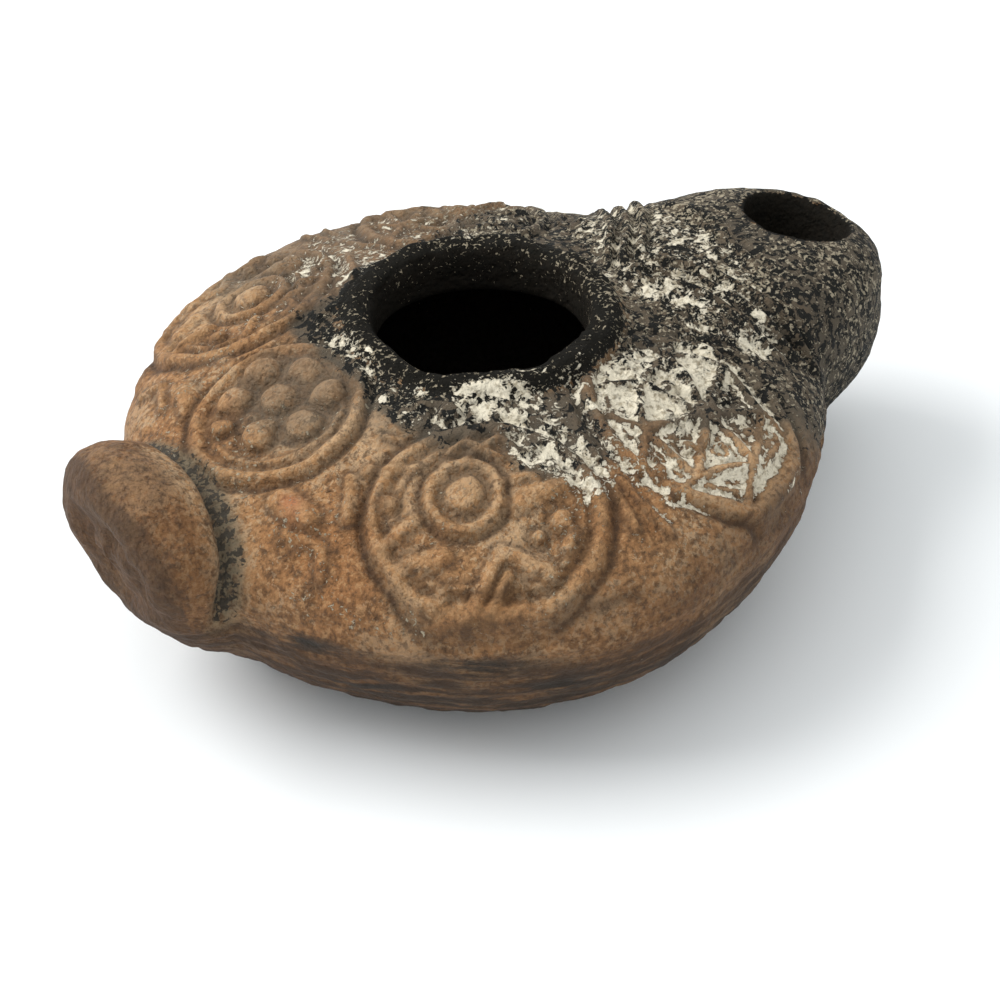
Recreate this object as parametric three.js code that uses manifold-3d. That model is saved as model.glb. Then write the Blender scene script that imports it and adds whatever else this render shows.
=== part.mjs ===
import * as THREE from "three";
import * as BufferGeometryUtils from "three/addons/utils/BufferGeometryUtils.js";
import Module from "manifold-3d";

// A mould-made clay oil lamp, in millimetres, standing on its flat base.
// +X runs from the knob handle to the nozzle, +Y is the far side, +Z is up.
// Plan positions below are measured from the middle of the filling hole.

// Where the filling hole and the egg-shaped body stand along the lamp.
const HOLE_X = -1.9;
const BODY_X = -3.15;

// The body seen from above, an egg between the two mould halves.
const BODY_FRONT = 41.5;
const BODY_BACK = 36.5;
const BODY_SIDE = 37.4;
const BODY_PLAN_POWER = 1.81;

// The body seen from the side: base, seam between the mould halves, flat top round the hole.
const SEAM_Z = 18.2;
const TOP_Z = 31.7;
const TOP_FLAT_SHARE = 0.33;
const TOP_FALL_POWER = 1.24;
const TOP_ROUND_POWER = 2.14;
const BASE_SHARE = 0.46;
const BOWL_POWER = 2.05;
const BOWL_ROUND_POWER = 2.0;
const WALL = 4.6;

// The raised rim and the filling hole inside it.
const HOLE_RADIUS = 11.2;
const HOLE_FLARE = 0.7;
const RIM_RADIUS = 13.1;
const RIM_HALF_WIDTH = 1.7;
const RIM_HEIGHT = 1.0;

// The nozzle, from the rim to its blunt rounded tip.
const NOZZLE_START = 9.0;
const NOZZLE_ROOT = 21.1;
const NOZZLE_TIP = 50.3;
const NOZZLE_START_HALF = 9.0;
const NOZZLE_ROOT_HALF = 18.4;
const NOZZLE_TIP_HALF = 11.8;
const NOZZLE_START_TOP = 29.8;
const NOZZLE_ROOT_TOP = 30.6;
const NOZZLE_MID = 33.0;
const NOZZLE_MID_TOP = 29.6;
const NOZZLE_TIP_TOP = 27.9;
const NOZZLE_ROOT_BOTTOM = 5.2;
const NOZZLE_TIP_BOTTOM = 11.1;
const NOZZLE_END_POWER = 2.46;
const NOZZLE_SECTION_POWER = 2.84;

// The wick hole, cut square to the sloping end of the nozzle, and the channel behind it.
const WICK_X = 41.9;
const WICK_Z = 28.5;
const WICK_RADIUS = 5.9;
const WICK_TILT = 0.36;
const WICK_DEPTH = 9.0;
const CHANNEL_START = 12.0;
const CHANNEL_END = 46.2;
const CHANNEL_WALL = 5.0;

// The knob handle at the back.
const HANDLE_ROOT = -30.0;
const HANDLE_END = -46.5;
const HANDLE_HALF_WIDTH = 12.4;
const HANDLE_HALF_HEIGHT = 10.4;
const HANDLE_Z = 21.2;
const HANDLE_END_POWER = 2.75;
const HANDLE_LEAN = 0.11;
const HANDLE_WAIST = 0.95;
const HANDLE_NARROWING = 0.3;

// The keel that runs from under the handle down the bowl.
const KEEL_DEPTH = 10.4;
const KEEL_REACH = 0.84;

// Relief: how deep it is bedded, and how far rings, ridges and pellets stand proud.
const BEDDING = 1.1;
const RING_HEIGHT = 0.75;
const RING_WIDTH = 1.5;
const RIDGE_HEIGHT = 0.6;
const RIDGE_WIDTH = 1.2;
const BAR_OVERRUN = 0.4;
const PELLET_HEIGHT = 0.95;
const PELLET_RADIUS = 1.75;

// Round medallions on the shoulder: where the middle lies, half across and half outwards.
const BACK_MEDALLION = { angle: 178.8, reach: 24.2, across: 9.0, outward: 8.7 };
const NEAR_MEDALLION = { angle: -121.8, reach: 28.0, across: 11.4, outward: 9.6 };
const FAR_MEDALLION = { angle: 126.5, reach: 27.4, across: 10.8, outward: 9.3 };
const NEAR_WHEEL = { angle: -64.5, reach: 24.9, across: 10.2, outward: 11.0 };
const FAR_WHEEL = { angle: 64.5, reach: 24.9, across: 10.2, outward: 11.0 };
const SEAM_MARGIN_SHARE = 0.975;

const WHEEL_SPOKES = 7;
const WHEEL_RIM = 0.68;
const WHEEL_TURN = 62;

// Facets: enough for smooth outlines, few enough for a light solid.
const BODY_SIDES = 48;
const MOUTH_SIDES = 36;
const WICK_SIDES = 24;
const CAVITY_SIDES = 28;
const NOZZLE_SIDES = 26;
const HANDLE_SIDES = 24;
const RING_SIDES = 20;
const PELLET_SIDES = 6;

const CLAY_COLOUR = 0x8a5a38;
const CLAY_ROUGHNESS = 0.92;

const wasm = await Module();
wasm.setup();

const degrees = (value) => (value * Math.PI) / 180;
const mix = (from, to, share) => from + (to - from) * share;

// Signed power, for superellipse sections.
function bulge(value, power) {
  return Math.sign(value) * Math.abs(value) ** (2 / power);
}

// Radius of the egg-shaped plan, from the body's middle, in a given direction.
function planRadius(angle) {
  const c = Math.cos(angle);
  const s = Math.sin(angle);
  const half = c > 0 ? BODY_FRONT : BODY_BACK;
  const sum = Math.abs(c / half) ** BODY_PLAN_POWER + Math.abs(s / BODY_SIDE) ** BODY_PLAN_POWER;
  return sum ** (-1 / BODY_PLAN_POWER);
}

// Height of the shoulder as a share of its rise, for a share of the way out to the seam.
function shoulder(share) {
  const fall = (value) => (1 - Math.min(value, 1) ** TOP_FALL_POWER) ** (1 / TOP_ROUND_POWER);
  return fall(Math.max(share, TOP_FLAT_SHARE)) / fall(TOP_FLAT_SHARE);
}

// Height of the bowl below the seam, for a share of the way out from the base's edge.
function bowl(share) {
  return 1 - (1 - share ** BOWL_POWER) ** (1 / BOWL_ROUND_POWER);
}

// Solid from rows of points, each row a closed loop running anticlockwise seen from the far end.
function loft(rows) {
  const sides = rows[0].length;
  const points = rows.flat();
  const middle = (row) => row.reduce((sum, p) => sum.map((v, i) => v + p[i] / row.length), [0, 0, 0]);
  points.push(middle(rows[0]), middle(rows[rows.length - 1]));
  const first = points.length - 2;
  const last = points.length - 1;
  const faces = [];
  for (let row = 0; row + 1 < rows.length; row += 1) {
    for (let side = 0; side < sides; side += 1) {
      const next = (side + 1) % sides;
      const a = row * sides + side;
      const b = row * sides + next;
      faces.push(a, b, b + sides, a, b + sides, a + sides);
    }
  }
  for (let side = 0; side < sides; side += 1) {
    const next = (side + 1) % sides;
    const top = (rows.length - 1) * sides;
    faces.push(first, next, side, last, top + side, top + next);
  }
  return solid(points, faces);
}

// Closed solid from points and triangles.
function solid(points, faces) {
  const mesh = new wasm.Mesh({
    numProp: 3,
    vertProperties: new Float32Array(points.flat()),
    triVerts: new Uint32Array(faces),
  });
  return new wasm.Manifold(mesh);
}

// One level loop of the body at a share of the plan, drawn in by an inset.
function bodyLoop(share, height, inset, sides) {
  const loop = [];
  for (let side = 0; side < sides; side += 1) {
    const angle = (side / sides) * 2 * Math.PI;
    const radius = (planRadius(angle) - inset) * share;
    loop.push([BODY_X + radius * Math.cos(angle), radius * Math.sin(angle), height]);
  }
  return loop;
}

// The body, or with an inset the hollow inside it.
function bodySolid(inset, sides, bowlShares, shoulderShares) {
  const floor = inset;
  const ceiling = TOP_Z - inset;
  const rows = bowlShares.map((share) => {
    const out = mix(BASE_SHARE, 1, share);
    return bodyLoop(out, mix(floor, SEAM_Z, bowl(share)), inset, sides);
  });
  for (const share of shoulderShares) {
    rows.push(bodyLoop(share, mix(SEAM_Z, ceiling, shoulder(share)), inset, sides));
  }
  return loft(rows);
}

// Half width of the nozzle, its top line and its underside, at a distance along it.
function nozzleHalf(x) {
  if (x < NOZZLE_ROOT) {
    return mix(NOZZLE_START_HALF, NOZZLE_ROOT_HALF, (x - NOZZLE_START) / (NOZZLE_ROOT - NOZZLE_START));
  }
  return mix(NOZZLE_ROOT_HALF, NOZZLE_TIP_HALF, (x - NOZZLE_ROOT) / (NOZZLE_TIP - NOZZLE_ROOT));
}

function nozzleTop(x) {
  if (x < NOZZLE_ROOT) {
    return mix(NOZZLE_START_TOP, NOZZLE_ROOT_TOP, (x - NOZZLE_START) / (NOZZLE_ROOT - NOZZLE_START));
  }
  if (x < NOZZLE_MID) {
    return mix(NOZZLE_ROOT_TOP, NOZZLE_MID_TOP, (x - NOZZLE_ROOT) / (NOZZLE_MID - NOZZLE_ROOT));
  }
  const share = (x - NOZZLE_MID) / (NOZZLE_TIP - NOZZLE_MID);
  return mix(NOZZLE_MID_TOP, NOZZLE_TIP_TOP, share ** 2);
}

function nozzleBottom(x) {
  const share = Math.max((x - NOZZLE_ROOT) / (NOZZLE_TIP - NOZZLE_ROOT), 0);
  return mix(NOZZLE_ROOT_BOTTOM, NOZZLE_TIP_BOTTOM, share ** 1.5);
}

// How much the nozzle has closed in towards its blunt end: one at the root, nought at the tip.
function nozzleClosing(x) {
  const share = Math.max((x - NOZZLE_ROOT) / (NOZZLE_TIP - NOZZLE_ROOT), 0);
  return Math.max(1 - share ** (2 * NOZZLE_END_POWER), 0) ** (1 / NOZZLE_END_POWER);
}

// Upright loop of the nozzle at a distance along it.
function nozzleLoop(x) {
  const closing = Math.max(nozzleClosing(x), 0.06);
  const half = nozzleHalf(x) * closing;
  const middle = (nozzleTop(x) + nozzleBottom(x)) / 2;
  const rise = ((nozzleTop(x) - nozzleBottom(x)) / 2) * closing ** 0.6;
  const loop = [];
  for (let side = 0; side < NOZZLE_SIDES; side += 1) {
    const angle = (side / NOZZLE_SIDES) * 2 * Math.PI;
    const across = half * bulge(Math.cos(angle), NOZZLE_SECTION_POWER);
    const up = middle + rise * bulge(Math.sin(angle), NOZZLE_SECTION_POWER);
    loop.push([x, across, up]);
  }
  return loop;
}

function nozzleSolid() {
  const stations = [NOZZLE_START, 15, NOZZLE_ROOT, 27, NOZZLE_MID, 37, 40.5, 43.5, 46, 48, 49.4, NOZZLE_TIP];
  return loft(stations.map(nozzleLoop));
}

// The channel from the chamber to the wick hole, inside the nozzle's wall.
function channelSolid() {
  const stations = [CHANNEL_START, 20, 28, 34, 39, 43, 45.2, CHANNEL_END];
  const rows = stations.map((x) => {
    const closing = Math.max(1 - ((x - CHANNEL_START) / (CHANNEL_END - CHANNEL_START)) ** 9, 0.12) ** 0.5;
    const roof = nozzleTop(x) - CHANNEL_WALL;
    const floor = nozzleBottom(x) + CHANNEL_WALL;
    const half = (Math.min(nozzleHalf(x), 16) - CHANNEL_WALL) * closing;
    const loop = [];
    for (let side = 0; side < 20; side += 1) {
      const angle = (side / 20) * 2 * Math.PI;
      const up = mix(floor, roof, 0.5) + ((roof - floor) / 2) * closing * Math.sin(angle);
      loop.push([x, half * Math.cos(angle), up]);
    }
    return loop;
  });
  return loft(rows);
}

function handleSolid() {
  const rows = [0, 0.3, 0.52, 0.7, 0.83, 0.92, 0.975, 1].map((share) => {
    const closing = Math.max(1 - share ** (2 * HANDLE_END_POWER), 0.02) ** (1 / HANDLE_END_POWER);
    const loop = [];
    for (let side = 0; side < HANDLE_SIDES; side += 1) {
      const angle = (side / HANDLE_SIDES) * 2 * Math.PI;
      const down = Math.max(-Math.sin(angle), 0);
      const x = mix(HANDLE_ROOT, HANDLE_END, share * (1 - HANDLE_LEAN * down ** 1.5));
      const narrow = 1 - HANDLE_NARROWING * (1 - share) ** 2 * mix(0.5, 1, Math.sin(angle));
      const across = -HANDLE_HALF_WIDTH * closing * narrow * Math.cos(angle);
      const waist = 1 - HANDLE_WAIST * (1 - share) ** 2 * (down > 0 ? 0 : 1);
      const up = HANDLE_HALF_HEIGHT * mix(0.3, 1, closing) * waist * Math.sin(angle);
      const keel = KEEL_DEPTH * Math.max(1 - share / KEEL_REACH, 0) * Math.sqrt(down);
      loop.push([x, across, HANDLE_Z + up - keel]);
    }
    return loop;
  });
  return loft(rows);
}

// Round solid about an upright axis, from a profile of radius and height that starts and ends on it.
function turned(profile, sides) {
  const points = profile.map(([radius, height]) => new THREE.Vector2(radius, height));
  const lathe = new THREE.LatheGeometry(points, sides);
  lathe.rotateX(Math.PI / 2);
  lathe.deleteAttribute("normal");
  lathe.deleteAttribute("uv");
  const merged = BufferGeometryUtils.mergeVertices(lathe, 1e-4);
  const position = merged.getAttribute("position");
  const corners = [];
  for (let i = 0; i < position.count; i += 1) {
    corners.push([position.getX(i), position.getY(i), position.getZ(i)]);
  }
  const faces = [];
  const index = merged.getIndex().array;
  for (let i = 0; i < index.length; i += 3) {
    const face = [index[i], index[i + 1], index[i + 2]];
    if (new Set(face).size === 3) {
      faces.push(...face);
    }
  }
  return solid(corners, faces);
}

// Height of the shoulder or the nozzle's top over a plan position.
function surfaceHeight(x, y) {
  const dx = x - BODY_X;
  const share = Math.min(Math.hypot(dx, y) / planRadius(Math.atan2(y, dx)), 0.995);
  const body = mix(SEAM_Z, TOP_Z, shoulder(share));
  if (x < NOZZLE_START || x > NOZZLE_TIP) {
    return body;
  }
  const closing = nozzleClosing(x);
  const across = Math.abs(y) / (nozzleHalf(x) * closing + 1e-6);
  if (across >= 1) {
    return body;
  }
  const middle = (nozzleTop(x) + nozzleBottom(x)) / 2;
  const rise = ((nozzleTop(x) - nozzleBottom(x)) / 2) * closing ** 0.6;
  const nozzle = middle + rise * (1 - across ** NOZZLE_SECTION_POWER) ** (1 / NOZZLE_SECTION_POWER);
  return Math.max(body, nozzle);
}

// A point over the surface, lifted square to it.
function onSurface(x, y, lift) {
  const step = 0.4;
  const slopeX = (surfaceHeight(x + step, y) - surfaceHeight(x - step, y)) / (2 * step);
  const slopeY = (surfaceHeight(x, y + step) - surfaceHeight(x, y - step)) / (2 * step);
  const length = Math.hypot(slopeX, slopeY, 1);
  return [
    HOLE_X + x - (slopeX / length) * lift,
    y - (slopeY / length) * lift,
    surfaceHeight(x, y) + lift / length,
  ];
}

// A ridge laid along plan points, with sloping sides; a ring when closed.
function ridge(path, width, height, closed) {
  const count = path.length;
  const points = [];
  path.forEach(([x, y], i) => {
    const before = path[closed ? (i + count - 1) % count : Math.max(i - 1, 0)];
    const after = path[closed ? (i + 1) % count : Math.min(i + 1, count - 1)];
    const length = Math.hypot(after[0] - before[0], after[1] - before[1]);
    const sideX = -(after[1] - before[1]) / length;
    const sideY = (after[0] - before[0]) / length;
    for (const [share, lift] of [[0.5, -BEDDING], [0.28, height], [-0.28, height], [-0.5, -BEDDING]]) {
      points.push(onSurface(x + sideX * width * share, y + sideY * width * share, lift));
    }
  });
  const faces = [];
  const spans = closed ? count : count - 1;
  for (let i = 0; i < spans; i += 1) {
    const here = i * 4;
    const there = ((i + 1) % count) * 4;
    for (let k = 0; k < 4; k += 1) {
      const next = (k + 1) % 4;
      faces.push(here + k, here + next, there + next, here + k, there + next, there + k);
    }
  }
  if (!closed) {
    const end = (count - 1) * 4;
    faces.push(0, 2, 1, 0, 3, 2, end, end + 1, end + 2, end, end + 2, end + 3);
  }
  return solid(points, faces);
}

// A low dome on the surface.
function pellet(x, y, radius, height) {
  const points = [];
  const rows = [[1, -BEDDING], [0.66, height * 0.85]];
  for (const [share, lift] of rows) {
    for (let side = 0; side < PELLET_SIDES; side += 1) {
      const angle = (side / PELLET_SIDES) * 2 * Math.PI;
      const reach = radius * share;
      points.push(onSurface(x + reach * Math.cos(angle), y + reach * Math.sin(angle), lift));
    }
  }
  points.push(onSurface(x, y, -BEDDING), onSurface(x, y, height));
  const foot = points.length - 2;
  const crown = points.length - 1;
  const faces = [];
  for (let side = 0; side < PELLET_SIDES; side += 1) {
    const next = (side + 1) % PELLET_SIDES;
    const top = PELLET_SIDES;
    faces.push(side, next, top + next, side, top + next, top + side);
    faces.push(foot, next, side, crown, top + side, top + next);
  }
  return solid(points, faces);
}

// A plan position, drawn back towards the body's middle where it would run over the seam.
function insideSeam(x, y) {
  const dx = x - BODY_X;
  const share = Math.hypot(dx, y) / planRadius(Math.atan2(y, dx));
  const keep = Math.min(SEAM_MARGIN_SHARE / share, 1);
  return [BODY_X + dx * keep, y * keep];
}

// Plan position inside a medallion: across and outward as shares of its half sizes.
function inMedallion(medallion, across, outward) {
  const angle = degrees(medallion.angle);
  const c = Math.cos(angle);
  const s = Math.sin(angle);
  const reach = medallion.reach + outward * medallion.outward;
  const along = across * medallion.across;
  return insideSeam(c * reach - s * along, s * reach + c * along);
}

// A ring round a medallion, at a share of its size.
function medallionRing(medallion, share, width, height) {
  const path = [];
  for (let side = 0; side < RING_SIDES; side += 1) {
    const angle = (side / RING_SIDES) * 2 * Math.PI;
    path.push(inMedallion(medallion, share * Math.cos(angle), share * Math.sin(angle)));
  }
  return ridge(path, width, height, true);
}

// A ridge between two places inside a medallion, running a little past both so that corners close.
function medallionBar(medallion, from, to) {
  const [startX, startY] = inMedallion(medallion, from[0], from[1]);
  const [endX, endY] = inMedallion(medallion, to[0], to[1]);
  const past = BAR_OVERRUN / Math.hypot(endX - startX, endY - startY);
  const path = [
    [mix(startX, endX, -past), mix(startY, endY, -past)],
    [mix(startX, endX, 1 + past), mix(startY, endY, 1 + past)],
  ];
  return ridge(path, RIDGE_WIDTH, RIDGE_HEIGHT, false);
}

function medallionPellet(medallion, across, outward, radius) {
  const [x, y] = inMedallion(medallion, across, outward);
  return pellet(x, y, radius, PELLET_HEIGHT * (radius / PELLET_RADIUS));
}

// Back medallion: one pellet with seven round it.
function backMedallion() {
  const pieces = [medallionRing(BACK_MEDALLION, 1, RING_WIDTH, RING_HEIGHT)];
  pieces.push(medallionPellet(BACK_MEDALLION, -0.12, -0.02, PELLET_RADIUS));
  for (let i = 0; i < 7; i += 1) {
    const angle = degrees(100 + (i * 360) / 7);
    pieces.push(medallionPellet(BACK_MEDALLION, 0.56 * Math.cos(angle), 0.56 * Math.sin(angle), PELLET_RADIUS));
  }
  return pieces;
}

// Side medallion: a ringed boss with bars fanning out from it and pellets between.
function starMedallion(medallion, side) {
  const boss = [-0.18 * side, -0.22];
  const pieces = [
    medallionRing(medallion, 1, RING_WIDTH, RING_HEIGHT),
    medallionPellet(medallion, boss[0], boss[1], 1.5),
  ];
  const annulus = [];
  const [bossX, bossY] = inMedallion(medallion, boss[0], boss[1]);
  for (let i = 0; i < 10; i += 1) {
    const angle = (i / 10) * 2 * Math.PI;
    annulus.push([bossX + 3.3 * Math.cos(angle), bossY + 3.0 * Math.sin(angle)]);
  }
  pieces.push(ridge(annulus, RIDGE_WIDTH, RIDGE_HEIGHT, true));
  const bars = [
    [[0.2, 0.0], [0.75, -0.1]],
    [[0.02, 0.12], [0.42, 0.62]],
    [[-0.02, 0.14], [-0.38, 0.78]],
    [[-0.52, 0.05], [-0.84, 0.22]],
    [[-0.5, -0.3], [-0.8, -0.3]],
    [[0.1, -0.5], [0.45, -0.62]],
  ];
  for (const [from, to] of bars) {
    pieces.push(medallionBar(medallion, [from[0] * side, from[1]], [to[0] * side, to[1]]));
  }
  pieces.push(medallionPellet(medallion, 0.02 * side, 0.58, 1.2));
  pieces.push(medallionPellet(medallion, 0.48 * side, 0.2, 1.2));
  pieces.push(medallionPellet(medallion, -0.62 * side, 0.5, 1.2));
  return pieces;
}

// Wheel medallion: a boss and spokes; the near one also has a rim of straight lengths and rays to the ring.
function wheelMedallion(medallion, side, full) {
  const pieces = [medallionRing(medallion, 1, RING_WIDTH, RING_HEIGHT)];
  pieces.push(medallionPellet(medallion, 0.1 * side, -0.02, 1.4));
  for (let i = 0; i < WHEEL_SPOKES; i += 1) {
    const turn = (step) => degrees(WHEEL_TURN + ((i + step) * 360) / WHEEL_SPOKES);
    const corner = (step, share) => [share * Math.cos(turn(step)) * side, share * Math.sin(turn(step))];
    pieces.push(medallionBar(medallion, [0.1 * side, -0.02], corner(0, WHEEL_RIM)));
    if (full) {
      pieces.push(medallionBar(medallion, corner(0, WHEEL_RIM), corner(1, WHEEL_RIM)));
      pieces.push(medallionBar(medallion, corner(0, WHEEL_RIM), corner(0.3, 0.96)));
    }
  }
  return pieces;
}

// Bands sweeping from the rim to the shoulder of the nozzle, and the ridge across its top.
function nozzleBands() {
  const pieces = [];
  for (const side of [-1, 1]) {
    for (const shift of [0, 2.2, 4.4]) {
      const path = [[17.2, 1.5], [21.6, 7.6], [24.2, 13.6], [25.8, 18.6]];
      pieces.push(ridge(path.map(([x, y]) => [x + shift, side * y]), RIDGE_WIDTH, RIDGE_HEIGHT, false));
    }
  }
  pieces.push(ridge([[30.6, -7.6], [30.6, -2.5], [30.6, 2.5], [30.6, 7.6]], RING_WIDTH, RIDGE_HEIGHT, false));
  return pieces;
}

// Short lines and ringed pellets in the corners between the medallions.
function spandrels() {
  const pieces = [];
  for (const side of [-1, 1]) {
    pieces.push(pellet(-11.6, side * 12.6, 1.3, 0.7));
    pieces.push(ridge([[-14.4, side * 11.0], [-14.3, side * 13.2], [-14.1, side * 15.4]], 1.0, 0.5, false));
    pieces.push(ridge([[-23.1, side * 11.9], [-24.5, side * 14.0], [-25.9, side * 16.0]], 1.3, 0.6, false));
    pieces.push(ridge([[-29.6, side * 9.6], [-28.9, side * 11.4], [-28.6, side * 13.4]], 2.0, 0.8, false));
    pieces.push(ridge([[-3.2, side * 24.5], [-2.9, side * 28.2], [-2.8, side * 31.8]], 1.0, 0.5, false));
  }
  return pieces;
}

function rimRing() {
  const top = TOP_Z + RIM_HEIGHT;
  const profile = [
    [0, TOP_Z - 6],
    [RIM_RADIUS + RIM_HALF_WIDTH, TOP_Z - 6],
    [RIM_RADIUS + RIM_HALF_WIDTH, TOP_Z - 0.6],
    [RIM_RADIUS + RIM_HALF_WIDTH * 0.6, top - 0.3],
    [RIM_RADIUS, top],
    [RIM_RADIUS - RIM_HALF_WIDTH * 0.6, top - 0.1],
    [0, top - 0.1],
  ];
  return turned(profile, MOUTH_SIDES).translate(HOLE_X, 0, 0);
}

function fillingHole() {
  const top = TOP_Z + RIM_HEIGHT;
  const profile = [
    [0, TOP_Z - WALL - 3],
    [HOLE_RADIUS, TOP_Z - WALL - 3],
    [HOLE_RADIUS, top - 1.6],
    [HOLE_RADIUS + HOLE_FLARE, top + 0.4],
    [0, top + 0.4],
  ];
  return turned(profile, MOUTH_SIDES).translate(HOLE_X, 0, 0);
}

function wickHole() {
  const profile = [
    [0, -WICK_DEPTH],
    [WICK_RADIUS, -WICK_DEPTH],
    [WICK_RADIUS, -0.6],
    [WICK_RADIUS + 1.2, 4],
    [0, 4],
  ];
  const tilt = (WICK_TILT * 180) / Math.PI;
  return turned(profile, WICK_SIDES).rotate([0, tilt, 0]).translate(HOLE_X + WICK_X, 0, WICK_Z);
}

// The whole lamp as one hollow piece of clay.
function lampSolid() {
  const bowlShares = [0, 0.3, 0.55, 0.75, 0.88, 0.96];
  const shoulderShares = [1, 0.98, 0.94, 0.87, 0.78, 0.67, 0.5, TOP_FLAT_SHARE];
  const body = bodySolid(0, BODY_SIDES, bowlShares, shoulderShares);
  const hollow = bodySolid(WALL, CAVITY_SIDES, [0, 0.4, 0.75, 0.95], [1, 0.93, 0.8, 0.6, TOP_FLAT_SHARE]);
  let lamp = body.add(nozzleSolid()).add(handleSolid()).translate(HOLE_X, 0, 0);
  lamp = lamp.add(rimRing());
  const relief = [
    ...backMedallion(),
    ...starMedallion(NEAR_MEDALLION, 1),
    ...starMedallion(FAR_MEDALLION, -1),
    ...wheelMedallion(NEAR_WHEEL, 1, true),
    ...wheelMedallion(FAR_WHEEL, -1, false),
    ...nozzleBands(),
    ...spandrels(),
  ];
  for (const piece of relief) {
    lamp = lamp.add(piece);
  }
  lamp = lamp.subtract(hollow.add(channelSolid()).translate(HOLE_X, 0, 0));
  return lamp.subtract(fillingHole()).subtract(wickHole());
}

function toMesh(shape, name) {
  const { vertProperties, triVerts, numProp } = shape.getMesh();
  const position = new Float32Array((vertProperties.length / numProp) * 3);
  for (let i = 0; i < position.length / 3; i += 1) {
    position.set(vertProperties.subarray(i * numProp, i * numProp + 3), i * 3);
  }
  const geometry = new THREE.BufferGeometry();
  geometry.setAttribute("position", new THREE.BufferAttribute(position, 3));
  geometry.setIndex(new THREE.BufferAttribute(new Uint32Array(triVerts), 1));
  const material = new THREE.MeshStandardMaterial({
    color: CLAY_COLOUR,
    roughness: CLAY_ROUGHNESS,
    metalness: 0,
  });
  const mesh = new THREE.Mesh(geometry, material);
  mesh.name = name;
  return mesh;
}

const lamp = new THREE.Group();
lamp.name = "oil_lamp";
lamp.add(toMesh(lampSolid(), "lamp"));

export default lamp;
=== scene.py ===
"""A mould-made clay oil lamp, dressed over its CAD frame.

Forms are worked out in millimetres and placed in metres. Plan positions are measured from the middle of the
filling hole: +X runs to the nozzle, +Y to the far side.
"""

import logging
import math
from dataclasses import dataclass, field
from enum import Enum

import bpy
import numpy as np
from mathutils import Matrix, Vector

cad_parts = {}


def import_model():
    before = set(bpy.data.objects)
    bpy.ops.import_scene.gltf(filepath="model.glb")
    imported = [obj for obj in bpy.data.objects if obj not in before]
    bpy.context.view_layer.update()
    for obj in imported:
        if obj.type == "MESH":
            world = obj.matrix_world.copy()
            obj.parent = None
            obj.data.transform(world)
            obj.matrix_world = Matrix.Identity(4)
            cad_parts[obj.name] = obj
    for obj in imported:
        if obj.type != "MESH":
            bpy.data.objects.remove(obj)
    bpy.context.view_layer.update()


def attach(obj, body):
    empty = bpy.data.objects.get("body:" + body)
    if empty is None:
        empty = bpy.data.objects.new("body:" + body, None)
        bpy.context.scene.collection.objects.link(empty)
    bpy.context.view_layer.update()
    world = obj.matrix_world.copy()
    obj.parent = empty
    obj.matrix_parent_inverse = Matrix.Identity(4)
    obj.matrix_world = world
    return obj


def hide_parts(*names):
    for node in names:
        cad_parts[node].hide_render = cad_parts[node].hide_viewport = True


log = logging.getLogger("oil_lamp")

MM = 0.001
HOLE_X = -1.9

# Lime on the shoulder: middle along X and Y, half sizes along X and Y, strength.
LIME_PATCHES = (
    (-9.0, -12.4, 5.4, 2.8, 0.7),
    (-5.6, -17.8, 4.2, 5.8, 0.8),
    (-14.2, -8.6, 2.8, 3.6, 0.5),
    (-14.6, 2.0, 2.0, 8.0, 0.4),
    (-4.2, -23.5, 3.4, 4.0, 0.72),
    (5.5, -13.8, 9.0, 3.4, 0.68),
    (8.5, -18.4, 10.5, 6.2, 0.84),
    (15.5, -16.5, 5.5, 4.2, 0.76),
    (9.0, -26.0, 7.5, 4.2, 0.4),
    (2.5, -24.0, 3.2, 6.0, 0.62),
    (23.0, -2.0, 8.5, 12.5, 0.56),
    (21.5, -13.0, 7.5, 4.2, 0.55),
    (24.0, 9.0, 7.0, 9.0, 0.52),
    (2.0, 21.0, 19.0, 9.5, 0.56),
    (-14.0, 16.0, 8.0, 6.0, 0.38),
)

# Scorch marks on the near side: middle along X and Z, half sizes along X and Z, strength.
CHAR_MARKS = (
    (-33.2, 16.6, 2.6, 1.5, 0.95),
    (-28.5, 11.0, 3.0, 1.6, 0.8),
    (-20.5, 15.8, 4.6, 1.5, 0.85),
    (-13.5, 11.4, 5.0, 2.0, 0.8),
)


class MedallionKind(Enum):
    """What a round medallion on the shoulder holds."""

    PELLETS = "pellets"
    STAR = "star"
    WHEEL = "wheel"


def superellipse(value: np.ndarray, power: float) -> np.ndarray:
    """Signed power of a sine or cosine.

    Args:
        value: Sines or cosines.
        power: 2 gives a circle, more gives a fuller section.

    Returns:
        The bulged values.
    """
    return np.sign(value) * np.abs(value) ** (2.0 / power)


def smooth(low: float, high: float, value: np.ndarray) -> np.ndarray:
    """Smooth step from nought to one.

    Args:
        low: Where the step starts.
        high: Where it ends.
        value: Values to step.

    Returns:
        Shares from nought to one.
    """
    share = np.clip((value - low) / (high - low), 0.0, 1.0)
    return share * share * (3.0 - 2.0 * share)


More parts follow.
